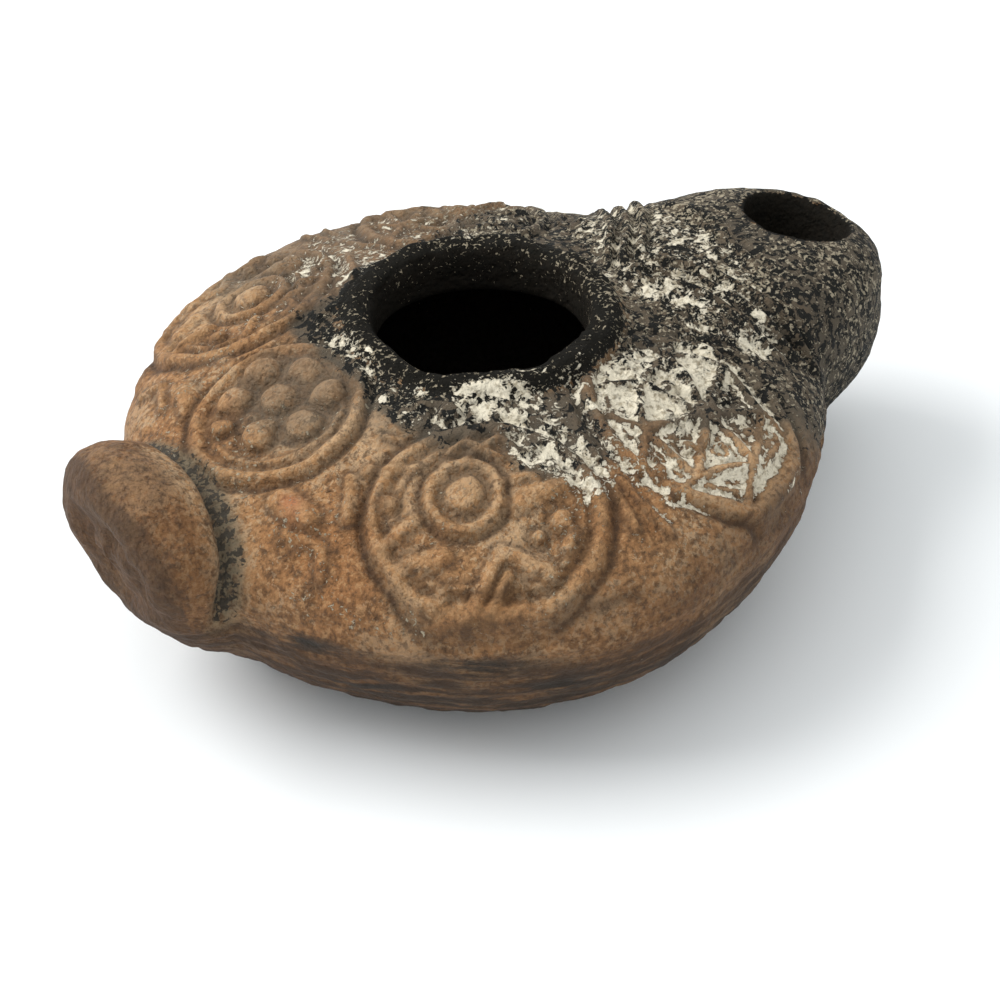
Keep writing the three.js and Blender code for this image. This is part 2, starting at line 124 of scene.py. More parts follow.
def value_noise(points: np.ndarray, size: float, seed: int) -> np.ndarray:
    """Smooth repeatable noise.

    Args:
        points: Rows of positions.
        size: Distance over which it changes.
        seed: Picks one noise from another.

    Returns:
        One value from minus one to one for each row.
    """
    scaled = points / size
    cell = np.floor(scaled).astype(np.int64)
    part = scaled - cell
    part = part * part * (3.0 - 2.0 * part)
    total = np.zeros(len(points))
    for corner in range(8):
        step = np.array([corner & 1, (corner >> 1) & 1, (corner >> 2) & 1])
        key = cell + step
        mixed = (key[:, 0] * 73856093) ^ (key[:, 1] * 19349663) ^ (key[:, 2] * 83492791) ^ (seed * 2654435761)
        mixed = (mixed ^ (mixed >> 13)) * 1274126177
        level = ((mixed ^ (mixed >> 16)) & 0xFFFF) / 32767.5 - 1.0
        weight = np.prod(np.where(step == 1, part, 1.0 - part), axis=1)
        total += level * weight
    return total


@dataclass(frozen=True)
class BodyForm:
    """Sizes of the egg-shaped body, in millimetres."""

    middle_x: float = -3.15
    front: float = 41.5
    back: float = 36.5
    side: float = 37.4
    plan_power: float = 1.81
    seam_z: float = 18.2
    top_z: float = 31.7
    flat_share: float = 0.33
    fall_power: float = 1.24
    round_power: float = 2.14
    base_share: float = 0.46
    bowl_power: float = 2.05
    bowl_round_power: float = 2.0
    wall: float = 4.6

    def plan_radius(self, angle: np.ndarray) -> np.ndarray:
        """Distance from the body's middle to the seam.

        Args:
            angle: Directions in plan.

        Returns:
            A radius for each direction.
        """
        c, s = np.cos(angle), np.sin(angle)
        half = np.where(c > 0, self.front, self.back)
        total = np.abs(c / half) ** self.plan_power + np.abs(s / self.side) ** self.plan_power
        return total ** (-1.0 / self.plan_power)

    def shoulder(self, share: np.ndarray) -> np.ndarray:
        """Height of the shoulder as a share of its rise.

        Args:
            share: Shares of the way out to the seam.

        Returns:
            Shares of the rise above the seam.
        """
        def fall(value: np.ndarray) -> np.ndarray:
            return np.maximum(1.0 - np.clip(value, 0, 1) ** self.fall_power, 0) ** (1.0 / self.round_power)

        return fall(np.maximum(share, self.flat_share)) / fall(np.array(self.flat_share))

    def rows(self, inset: float, around: int, up: int) -> list[np.ndarray]:
        """Level loops from the base to the top.

        Args:
            inset: How far the form is drawn in, for the hollow inside it.
            around: Points in a loop.
            up: Loops on the bowl, and again on the shoulder.

        Returns:
            Loops of points.
        """
        angle = np.arange(around) / around * 2 * math.pi
        reach = self.plan_radius(angle) - inset
        loops = []

        def loop(share: float, height: float) -> None:
            x = self.middle_x + reach * share * np.cos(angle)
            loops.append(np.stack([x, reach * share * np.sin(angle), np.full(around, height)], 1))

        for step in range(up):
            out = math.sin(step / (up - 1) * math.pi / 2)
            rise = 1.0 - max(1.0 - out ** self.bowl_power, 0.0) ** (1.0 / self.bowl_round_power)
            share = self.base_share + (1.0 - self.base_share) * out
            loop(share, inset + (self.seam_z - inset) * rise)
        for step in range(1, up):
            share = 1.0 - (1.0 - self.flat_share) * (1.0 - math.cos(step / (up - 1) * math.pi / 2))
            rise = float(self.shoulder(np.array(share)))
            loop(share, self.seam_z + (self.top_z - inset - self.seam_z) * rise)
        return loops


@dataclass(frozen=True)
class NozzleForm:
    """Sizes of the nozzle and of the wick's way through it, in millimetres."""

    start: float = 9.0
    root: float = 21.1
    mid: float = 33.0
    tip: float = 50.3
    start_half: float = 9.0
    root_half: float = 18.4
    tip_half: float = 11.8
    start_top: float = 29.8
    root_top: float = 30.6
    mid_top: float = 29.6
    tip_top: float = 27.9
    root_bottom: float = 5.2
    tip_bottom: float = 11.1
    end_power: float = 2.46
    section_power: float = 2.84
    channel_start: float = 12.0
    channel_end: float = 46.2
    channel_wall: float = 5.0
    channel_half: float = 11.0
    wick_x: float = 41.9
    wick_z: float = 28.5
    wick_radius: float = 5.9
    wick_tilt: float = 0.36
    wick_depth: float = 9.0

    def half(self, x: float) -> float:
        """Half width before the end closes in.

        Args:
            x: Distance along the nozzle.

        Returns:
            The half width.
        """
        places = [self.start, self.root, self.tip]
        return float(np.interp(x, places, [self.start_half, self.root_half, self.tip_half]))

    def top(self, x: float) -> float:
        """Height of the top line.

        Args:
            x: Distance along the nozzle.

        Returns:
            The height.
        """
        if x < self.mid:
            stations = [self.start, self.root, self.mid]
            return float(np.interp(x, stations, [self.start_top, self.root_top, self.mid_top]))
        share = (x - self.mid) / (self.tip - self.mid)
        return self.mid_top + (self.tip_top - self.mid_top) * share ** 2

    def bottom(self, x: float) -> float:
        """Height of the underside.

        Args:
            x: Distance along the nozzle.

        Returns:
            The height.
        """
        share = max((x - self.root) / (self.tip - self.root), 0.0)
        return self.root_bottom + (self.tip_bottom - self.root_bottom) * share ** 1.5

    def closing(self, x: float) -> float:
        """How far the blunt end has closed in, one where it hasn't.

        Args:
            x: Distance along the nozzle.

        Returns:
            A share of the full section.
        """
        share = max((x - self.root) / (self.tip - self.root), 0.0)
        return max(1.0 - share ** (2 * self.end_power), 0.0) ** (1.0 / self.end_power)

    def rows(self, along: int, around: int) -> list[np.ndarray]:
        """Upright loops of the nozzle's outside.

        Args:
            along: Loops along it.
            around: Points in a loop.

        Returns:
            Loops of points.
        """
        angle = np.arange(around) / around * 2 * math.pi
        loops = []
        for step in range(along):
            x = self.start + (self.tip - self.start) * math.sin(step / (along - 1) * math.pi / 2)
            closing = max(self.closing(x), 0.02)
            rise = (self.top(x) - self.bottom(x)) / 2 * closing ** 0.6
            across = self.half(x) * closing * superellipse(np.cos(angle), self.section_power)
            level = (self.top(x) + self.bottom(x)) / 2 + rise * superellipse(np.sin(angle), self.section_power)
            loops.append(np.stack([np.full(around, x), across, level], 1))
        return loops

    def channel_rows(self, along: int, around: int) -> list[np.ndarray]:
        """Upright loops of the channel inside.

        Args:
            along: Loops along it.
            around: Points in a loop.

        Returns:
            Loops of points.
        """
        angle = np.arange(around) / around * 2 * math.pi
        loops = []
        for step in range(along):
            share = math.sin(step / (along - 1) * math.pi / 2)
            x = self.channel_start + (self.channel_end - self.channel_start) * share
            closing = max(1.0 - share ** 9, 0.02) ** 0.5
            roof, floor = self.top(x) - self.channel_wall, self.bottom(x) + self.channel_wall
            half = min(self.half(x) - self.channel_wall, self.channel_half) * closing
            level = (roof + floor) / 2 + (roof - floor) / 2 * closing * np.sin(angle)
            loops.append(np.stack([np.full(around, x), half * np.cos(angle), level], 1))
        return loops


@dataclass(frozen=True)
class HandleForm:
    """Sizes of the knob handle, in millimetres."""

    root: float = -30.0
    end: float = -46.5
    half_width: float = 12.4
    half_height: float = 10.4
    middle_z: float = 21.2
    end_power: float = 2.75
    lean: float = 0.11
    waist: float = 0.95
    narrowing: float = 0.3
    keel_depth: float = 10.4
    keel_reach: float = 0.84

    def rows(self, along: int, around: int) -> list[np.ndarray]:
        """Upright loops of the handle.

        Args:
            along: Loops along it.
            around: Points in a loop.

        Returns:
            Loops of points.
        """
        angle = np.arange(around) / around * 2 * math.pi
        loops = []
        for step in range(along):
            share = math.sin(step / (along - 1) * math.pi / 2)
            down = np.maximum(-np.sin(angle), 0.0)
            x = self.root + (self.end - self.root) * share * (1.0 - self.lean * down ** 1.5)
            closing = max(1.0 - share ** (2 * self.end_power), 0.001) ** (1.0 / self.end_power)
            waist = 1.0 - self.waist * (1.0 - share) ** 2 * (down <= 0)
            up = self.half_height * (0.3 + 0.7 * closing) * waist * np.sin(angle)
            keel = self.keel_depth * max(1.0 - share / self.keel_reach, 0.0) * np.sqrt(down)
            narrow = 1.0 - self.narrowing * (1.0 - share) ** 2 * (0.5 + 0.5 * np.sin(angle))
            across = -self.half_width * closing * narrow * np.cos(angle)
            loops.append(np.stack([x, across, self.middle_z + up - keel], 1))
        return loops


@dataclass(frozen=True)
class MouthForm:
    """Sizes of the filling hole and its raised rim, in millimetres."""

    radius: float = 11.2
    flare: float = 0.7
    rim_radius: float = 13.1
    rim_half: float = 1.7
    rim_height: float = 1.0


@dataclass(frozen=True)
class Medallion:
    """A round medallion: where its middle lies in plan, its half sizes, and what it holds."""

    kind: MedallionKind
    angle: float
    reach: float
    across: float
    outward: float
    side: float = 1.0

    def local(self, plan: np.ndarray) -> tuple[np.ndarray, np.ndarray]:
        """Shares across and outward for plan positions.

        Args:
            plan: Rows of plan positions.

        Returns:
            The two shares.
        """
        turn = math.radians(self.angle)
        c, s = math.cos(turn), math.sin(turn)
        outward = (c * plan[:, 0] + s * plan[:, 1] - self.reach) / self.outward
        across = (-s * plan[:, 0] + c * plan[:, 1]) / self.across
        return across, outward


Path = list[tuple[float, float]]


@dataclass
class Relief:
    """The moulded relief on the shoulder, as heights over plan positions.

    It keeps the highest of what crosses, cuts grooves after, and marks the foot of each form, where crust gathers.
    """

    plan: np.ndarray
    body: BodyForm
    height: np.ndarray = field(init=False)
    cut: np.ndarray = field(init=False)
    foot: np.ndarray = field(init=False)

    def __post_init__(self) -> None:
        """Starts from bare clay."""
        self.height = np.zeros(len(self.plan))
        self.cut = np.zeros(len(self.plan))
        self.foot = np.zeros(len(self.plan))

    def raise_line(self, distance: np.ndarray, width: float, height: float) -> None:
        """Raises a ridge with a flattened crest where a distance is small.

        Args:
            distance: Distance from the ridge's middle line.
            width: Width at half height.
            height: Height of the crest.
        """
        away = np.abs(distance)
        self.height = np.maximum(self.height, height / (1.0 + (away / (0.5 * width)) ** 4))
        self.foot = np.maximum(self.foot, np.exp(-(((away - 0.85 * width) / 0.3) ** 2)))

    def cut_line(self, distance: np.ndarray, width: float, depth: float) -> None:
        """Cuts a rounded groove where a distance is small.

        Args:
            distance: Distance from the groove's middle line.
            width: Width at half depth.
            depth: Depth of the bed.
        """
        self.cut = np.maximum(self.cut, depth * np.exp(-((distance / (0.6 * width)) ** 2)))

    def path_distance(self, path: Path) -> np.ndarray:
        """Distance from a run of straight lengths.

        Args:
            path: Plan points along it.

        Returns:
            A distance for every plan position.
        """
        best = np.full(len(self.plan), 1e9)
        for start, end in zip(path[:-1], path[1:]):
            a, b = np.array(start), np.array(end)
            along = b - a
            share = np.clip((self.plan - a) @ along / (along @ along), 0, 1)
            best = np.minimum(best, np.linalg.norm(self.plan - a - share[:, None] * along, axis=1))
        return best

    def bar(self, path: Path, width: float = 1.1, height: float = 0.7) -> None:
        """Raises a bar along a path.

        Args:
            path: Plan points along it.
            width: Its width.
            height: Its height.
        """
        self.raise_line(self.path_distance(path), width, height)

    def groove(self, path: Path, width: float = 0.8, depth: float = 0.4) -> None:
        """Cuts a groove along a path.

        Args:
            path: Plan points along it.
            width: Its width.
            depth: Its depth.
        """
        self.cut_line(self.path_distance(path), width, depth)

    def pellet(self, spot: tuple[float, float], radius: float, height: float) -> None:
        """Raises a domed pellet with a soft trench round it.

        Args:
            spot: Plan position of its middle.
            radius: Its radius.
            height: Its height.
        """
        away = np.linalg.norm(self.plan - np.array(spot), axis=1)
        dome = height * np.clip(1.0 - (away / (radius * 1.1)) ** 2.6, 0, 1) ** 0.7
        self.height = np.maximum(self.height, dome)
        self.foot = np.maximum(self.foot, np.exp(-(((away - 1.15 * radius) / 0.35) ** 2)))
        self.cut_line(away - radius * 1.35, 0.8, 0.3)

    def circlet(self, spot: tuple[float, float], radius: float, width: float, height: float) -> None:
        """Raises a small ring.

        Args:
            spot: Plan position of its middle.
            radius: Radius of its crest.
            width: Width of the ridge.
            height: Its height.
        """
        away = np.linalg.norm(self.plan - np.array(spot), axis=1)
        self.raise_line(away - radius, width, height)

    def ring(self, medallion: Medallion) -> None:
        """Raises the ring round a medallion, flattened where it would run over the seam.

        Args:
            medallion: The medallion.
        """
        across, outward = medallion.local(self.plan)
        away = (np.hypot(across, outward) - 1.0) * 0.5 * (medallion.across + medallion.outward)
        dx = self.plan[:, 0] - self.body.middle_x
        angle = np.arctan2(self.plan[:, 1], dx)
        seam_gap = self.body.plan_radius(angle) * 0.975 - np.hypot(dx, self.plan[:, 1])
        away = np.maximum(away, -seam_gap)
        self.raise_line(away + 0.2, 1.2, 0.5)
        self.cut_line(away - 0.95, 0.8, 0.45)
        self.cut_line(away + 1.25, 0.7, 0.22)
        self.raise_line(away + 1.95, 0.55, 0.2)

    def pellets(self, medallion: Medallion) -> None:
        """Fills a medallion with a pellet and others round it.

        Args:
            medallion: The medallion.
        """
        self.ring(medallion)
        spots = [(-23.4, 1.6), (-23.5, -3.5), (-27.2, -1.1), (-19.7, -1.9), (-19.5, 2.8), (-22.6, 6.5), (-26.6, 5.4)]
        for spot in spots:
            self.pellet(spot, 1.8, 1.05)
        self.pellet((-29.3, 3.4), 1.2, 0.6)
        self.circlet((-19.5, 2.8), 2.3, 0.5, 0.4)

    def star(self, medallion: Medallion) -> None:
        """Fills a medallion with a ringed boss and bars fanning out from it.

        Args:
            medallion: The medallion.
        """
        self.ring(medallion)
        side = medallion.side
        boss = (-15.7, -21.1 * side)
        away = np.linalg.norm(self.plan - np.array(boss), axis=1)
        self.pellet(boss, 1.8, 0.8)
        self.circlet(boss, 3.5, 1.0, 0.48)
        self.cut_line(away - 4.5, 0.8, 0.4)
        for path, width in (
            ([(-21.8, -30.3), (-19.0, -29.3), (-15.9, -27.8)], 1.2),
            ([(-15.9, -27.8), (-14.4, -29.6), (-12.9, -32.0)], 1.2),
            ([(-19.2, -30.9), (-16.6, -29.9)], 0.9),
            ([(-25.4, -22.9), (-23.0, -24.0), (-20.8, -24.9)], 1.5),
            ([(-25.2, -20.7), (-21.4, -20.3)], 1.2),
            ([(-24.6, -26.4), (-22.6, -27.6)], 1.0),
            ([(-12.4, -24.4), (-9.4, -24.6), (-6.9, -25.2)], 1.6),
            ([(-11.4, -22.0), (-8.8, -23.2)], 1.0),
            ([(-15.6, -16.9), (-11.8, -15.7), (-8.4, -15.3)], 0.9),
            ([(-13.4, -17.9), (-9.6, -17.3)], 0.8),
            ([(-12.2, -16.2), (-10.6, -19.6)], 0.7),
            ([(-9.4, -16.8), (-8.3, -20.4)], 0.7),
            ([(-10.3, -30.9), (-8.6, -29.6)], 0.9),
        ):
            self.bar([(x, y * side) for x, y in path], width, 0.62)
        for x, y, radius in ((-6.9, -19.8, 1.1), (-9.1, -28.2, 1.2), (-22.0, -17.4, 0.9), (-12.0, -28.4, 0.8)):
            self.pellet((x, y * side), radius, 0.6)
        self.circlet((-16.9, -31.4 * side), 1.1, 0.5, 0.35)

    def wheel(self, medallion: Medallion) -> None:
        """Fills a medallion with a wheel: a hub, spokes, a rim of straight lengths and rays to the ring.

        Args:
            medallion: The medallion.
        """
        self.ring(medallion)
        side = medallion.side
        hub = (12.2, -23.0 * side)
        rim = [(4.4, -23.1), (6.3, -29.2), (13.6, -29.3), (18.3, -24.1), (18.5, -17.4), (13.2, -15.0), (7.6, -17.5)]
        corners = [(x, y * side) for x, y in rim]
        rays = (
            (0, 1.6, -19.8), (0, 0.6, -27.4), (1, 2.4, -30.4), (2, 9.0, -33.4), (3, 19.8, -27.2),
            (4, 18.9, -13.6), (5, 11.4, -11.6), (5, 15.8, -11.9), (6, 7.9, -12.2), (6, 3.4, -16.6),
        )
        self.pellet(hub, 1.5, 0.95)
        for index, corner in enumerate(corners):
            self.bar([hub, corner], 0.95, 0.66)
            self.bar([corner, corners[(index + 1) % len(corners)]], 0.8, 0.52)
        for index, x, y in rays:
            self.bar([corners[index], (x, y * side)], 0.8, 0.5)
        for x, y in ((8.0, -26.0), (8.0, -22.0), (15.6, -21.3), (15.4, -25.8), (10.4, -18.8), (3.2, -27.6)):
            self.pellet((x, y * side), 0.8, 0.45)
        self.circlet((10.5, -27.5 * side), 0.9, 0.45, 0.5)

    def nozzle_bands(self) -> None:
        """Bands sweeping from the rim to the shoulder of the nozzle, and the ridge across its top."""
        for side in (-1.0, 1.0):
            for shift, height in ((0.0, 0.55), (2.2, 0.55), (4.4, 0.7)):
                path = [(16.7, 1.0), (19.2, 4.0), (21.2, 6.8), (23.3, 10.4), (25.0, 14.0), (26.4, 17.6)]
                self.bar([(x + shift, y * side) for x, y in path], 0.9, height)
                self.groove([(x + shift + 1.05, y * side) for x, y in path], 0.7, 0.4)
            for step in range(4):
                at = 9.0 + 2.1 * step
                self.bar([(18.4 + 0.5 * step, at * side), (20.6 + 0.5 * step, (at + 1.4) * side)], 0.6, 0.3)
        self.bar([(30.7, -8.0), (30.6, 0.0), (30.7, 8.6)], 1.1, 0.55)
        self.groove([(31.7, -8.0), (31.6, 0.0), (31.7, 8.6)], 0.7, 0.42)

    def spandrels(self) -> None:
        """Short lines and ringed pellets in the corners between the medallions."""
        for side in (-1.0, 1.0):
            spot = (-11.8, 12.3 * side)
            self.pellet(spot, 1.2, 0.7)
            self.circlet(spot, 2.1, 0.6, 0.4)
            for path, width, height in (
                ([(-14.3, 11.2), (-14.2, 13.0), (-14.0, 15.4)], 0.7, 0.4),
                ([(-23.6, 12.6), (-25.9, 16.0)], 1.1, 0.5),
                ([(-21.9, 12.9), (-19.8, 14.6), (-18.0, 15.8)], 0.9, 0.45),
                ([(-29.6, 9.6), (-29.3, 11.2), (-28.8, 13.2)], 1.9, 0.85),
                ([(-31.4, 12.6), (-29.4, 16.2), (-30.8, 18.4)], 0.9, 0.4),
                ([(-18.2, 11.0), (-16.4, 13.6)], 0.6, 0.3),
                ([(-13.6, 9.6), (-11.0, 11.0), (-8.0, 12.7), (-6.2, 14.8), (-5.2, 17.5), (-4.4, 19.4)], 0.9, 0.5),
                ([(-3.0, 26.1), (-2.8, 29.0), (-3.1, 31.9)], 0.8, 0.45),
                ([(-1.2, 27.0), (-0.9, 30.0), (0.2, 33.2)], 0.7, 0.35),
                ([(-0.6, 17.4), (-1.8, 20.6), (-2.2, 24.0)], 0.8, 0.4),
            ):
                self.bar([(x, y * side) for x, y in path], width, height)
            self.groove([(-13.8, 34.5 * side), (-9.4, 35.5 * side), (-5.5, 36.1 * side)], 0.8, 0.3)


@dataclass(frozen=True)
class ClayFinish:
    """Colours, gloss and fine bumps of the clay and of what lies on it. Colours are linear, depths in metres."""

    light: tuple[float, float, float] = (0.500, 0.282, 0.126)
    mid: tuple[float, float, float] = (0.315, 0.148, 0.053)
    deep: tuple[float, float, float] = (0.052, 0.027, 0.013)
    ochre: tuple[float, float, float] = (0.300, 0.130, 0.042)
    red: tuple[float, float, float] = (0.420, 0.150, 0.065)
    fleck: tuple[float, float, float] = (0.520, 0.360, 0.210)
    stain_and_shade: tuple[float, float, float] = (0.090, 0.077, 0.057)
    soot: tuple[float, float, float] = (0.0105, 0.0105, 0.0090)
    lime: tuple[float, float, float] = (0.86, 0.78, 0.61)
    old_lime: tuple[float, float, float] = (0.44, 0.375, 0.265)
    dust: tuple[float, float, float] = (0.215, 0.165, 0.098)
    char: tuple[float, float, float] = (0.020, 0.017, 0.013)
    roughness: float = 0.74
    roughness_swing: float = 0.16
    specular: float = 0.3
    sooted_specular: float = 0.04
    swell_strength: float = 0.9
    swell_depth: float = 0.0012
    grain_strength: float = 1.0
    grain_depth: float = 0.0009


@dataclass(frozen=True)
class FloorFinish:
    """Look of the white floor. The depth of its grain is in metres."""

    colour: tuple[float, float, float] = (0.93, 0.945, 0.945)
    roughness: float = 0.75
    specular: float = 0.1
    grain_scale: float = 900.0
    grain_strength: float = 0.15
    grain_depth: float = 0.00005


class NodeGroup:
    """A shader node group with named sockets, built once."""

    def __init__(self, name: str, inputs: list[tuple[str, str, float]], outputs: list[tuple[str, str]]) -> None:
        """Makes the group and its interface.

        Args:
            name: The group's name.
            inputs: Name, socket type and default of each input.
            outputs: Name and socket type of each output.
        """
        self.tree = bpy.data.node_groups.new(name, "ShaderNodeTree")
        for label, kind, default in inputs:
            socket = self.tree.interface.new_socket(label, in_out="INPUT", socket_type=kind)
            if kind == "NodeSocketFloat":
                socket.default_value = default
        for label, kind in outputs:
            self.tree.interface.new_socket(label, in_out="OUTPUT", socket_type=kind)
        self.entry = self.tree.nodes.new("NodeGroupInput")
        self.exit = self.tree.nodes.new("NodeGroupOutput")


class Wiring:
    """Short calls for adding and joining shader nodes in one tree."""

    def __init__(self, tree: bpy.types.NodeTree) -> None:
        """Keeps the tree.

        Args:
            tree: A material's or a group's node tree.
        """
        self.tree = tree

    def node(self, kind: str, **values: object) -> bpy.types.Node:
        """Adds a node.

        Args:
            kind: Its type.
            values: Properties to set.

        Returns:
            The node.
        """
        made = self.tree.nodes.new(kind)
        for key, value in values.items():
            setattr(made, key, value)
        return made

    def join(self, source: object, target: bpy.types.NodeSocket) -> None:
        """Links an output to an input, or sets a number on it.

        Args:
            source: An output socket, a number or a colour.
            target: The input socket.
        """
        if isinstance(source, bpy.types.NodeSocket):
            self.tree.links.new(source, target)
        elif isinstance(source, tuple):
            target.default_value = (*source, 1.0)
        else:
            target.default_value = source

    def noise(self, vector: object, scale: float, detail: float = 3.0, rough: float = 0.55) -> bpy.types.NodeSocket:
        """Noise from nought to one.

        Args:
            vector: Where it is read.
            scale: Waves in a metre.
            detail: Octaves.
            rough: How strong the fine ones are.

        Returns:
            The value's socket.
        """
        made = self.node("ShaderNodeTexNoise")
        self.join(vector, made.inputs["Vector"])
        made.inputs["Scale"].default_value = scale
        made.inputs["Detail"].default_value = detail
        made.inputs["Roughness"].default_value = rough
        return made.outputs["Fac"]

    def math(self, operation: str, first: object, second: object = 0.0) -> bpy.types.NodeSocket:
        """One sum.

        Args:
            operation: The Math node's operation.
            first: First value.
            second: Second value.

        Returns:
            The result's socket, held from nought to one unless it is a difference.
        """
        made = self.node("ShaderNodeMath", operation=operation, use_clamp=operation != "SUBTRACT")
        self.join(first, made.inputs[0])
        self.join(second, made.inputs[1])
        return made.outputs[0]

    def step(self, value: object, low: float, high: float) -> bpy.types.NodeSocket:
        """Smooth step of a value.

        Args:
            value: The value.
            low: Where the step starts.
            high: Where it ends.

        Returns:
            The result's socket.
        """
        made = self.node("ShaderNodeMapRange", interpolation_type="SMOOTHSTEP")
        self.join(value, made.inputs["Value"])
        made.inputs["From Min"].default_value = low
        made.inputs["From Max"].default_value = high
        return made.outputs["Result"]

    def blend(self, share: object, first: object, second: object, mode: str = "MIX") -> bpy.types.NodeSocket:
        """Mixes two colours.

        Args:
            share: How much of the second.
            first: First colour.
            second: Second colour.
            mode: The blend mode.

        Returns:
            The colour's socket.
        """
        made = self.node("ShaderNodeMix", data_type="RGBA", blend_type=mode)
        self.join(share, made.inputs["Factor"])
        self.join(first, made.inputs["A"])
        self.join(second, made.inputs["B"])
        return made.outputs["Result"]


def speckle_group() -> bpy.types.NodeTree:
    """A mask of ragged specks, denser where asked.

    Returns:
        The node group.
    """
    group = NodeGroup(
        "ragged_specks",
        [
            ("Vector", "NodeSocketVector", 0.0),
            ("Density", "NodeSocketFloat", 0.5),
            ("Scale", "NodeSocketFloat", 500.0),
        ],
        [("Mask", "NodeSocketFloat")],
    )
    wiring = Wiring(group.tree)
    coarse = wiring.node("ShaderNodeTexNoise")
    wiring.join(group.entry.outputs["Vector"], coarse.inputs["Vector"])
    wiring.join(group.entry.outputs["Scale"], coarse.inputs["Scale"])
    coarse.inputs["Detail"].default_value = 4.0
    coarse.inputs["Roughness"].default_value = 0.62
    coarse.inputs["Distortion"].default_value = 0.45
    threshold = wiring.node("ShaderNodeMath", operation="MULTIPLY_ADD")
    wiring.join(group.entry.outputs["Density"], threshold.inputs[0])
    threshold.inputs[1].default_value = -0.42
    threshold.inputs[2].default_value = 0.74
    over = wiring.node("ShaderNodeMath", operation="SUBTRACT")
    wiring.join(coarse.outputs["Fac"], over.inputs[0])
    wiring.join(threshold.outputs[0], over.inputs[1])
    wiring.join(wiring.step(over.outputs[0], -0.012, 0.028), group.exit.inputs["Mask"])
    return group.tree


def grain_group() -> bpy.types.NodeTree:
    """The height of a rough surface's grain and pits.

    Returns:
        The node group.
    """
    group = NodeGroup(
        "surface_grain",
        [("Vector", "NodeSocketVector", 0.0), ("Scale", "NodeSocketFloat", 1500.0)],
        [("Height", "NodeSocketFloat")],
    )
    wiring = Wiring(group.tree)
    fine = wiring.node("ShaderNodeTexNoise")
    wiring.join(group.entry.outputs["Vector"], fine.inputs["Vector"])
    wiring.join(group.entry.outputs["Scale"], fine.inputs["Scale"])
    fine.inputs["Detail"].default_value = 5.0
    fine.inputs["Roughness"].default_value = 0.6
    wiring.join(fine.outputs["Fac"], group.exit.inputs["Height"])
    return group.tree


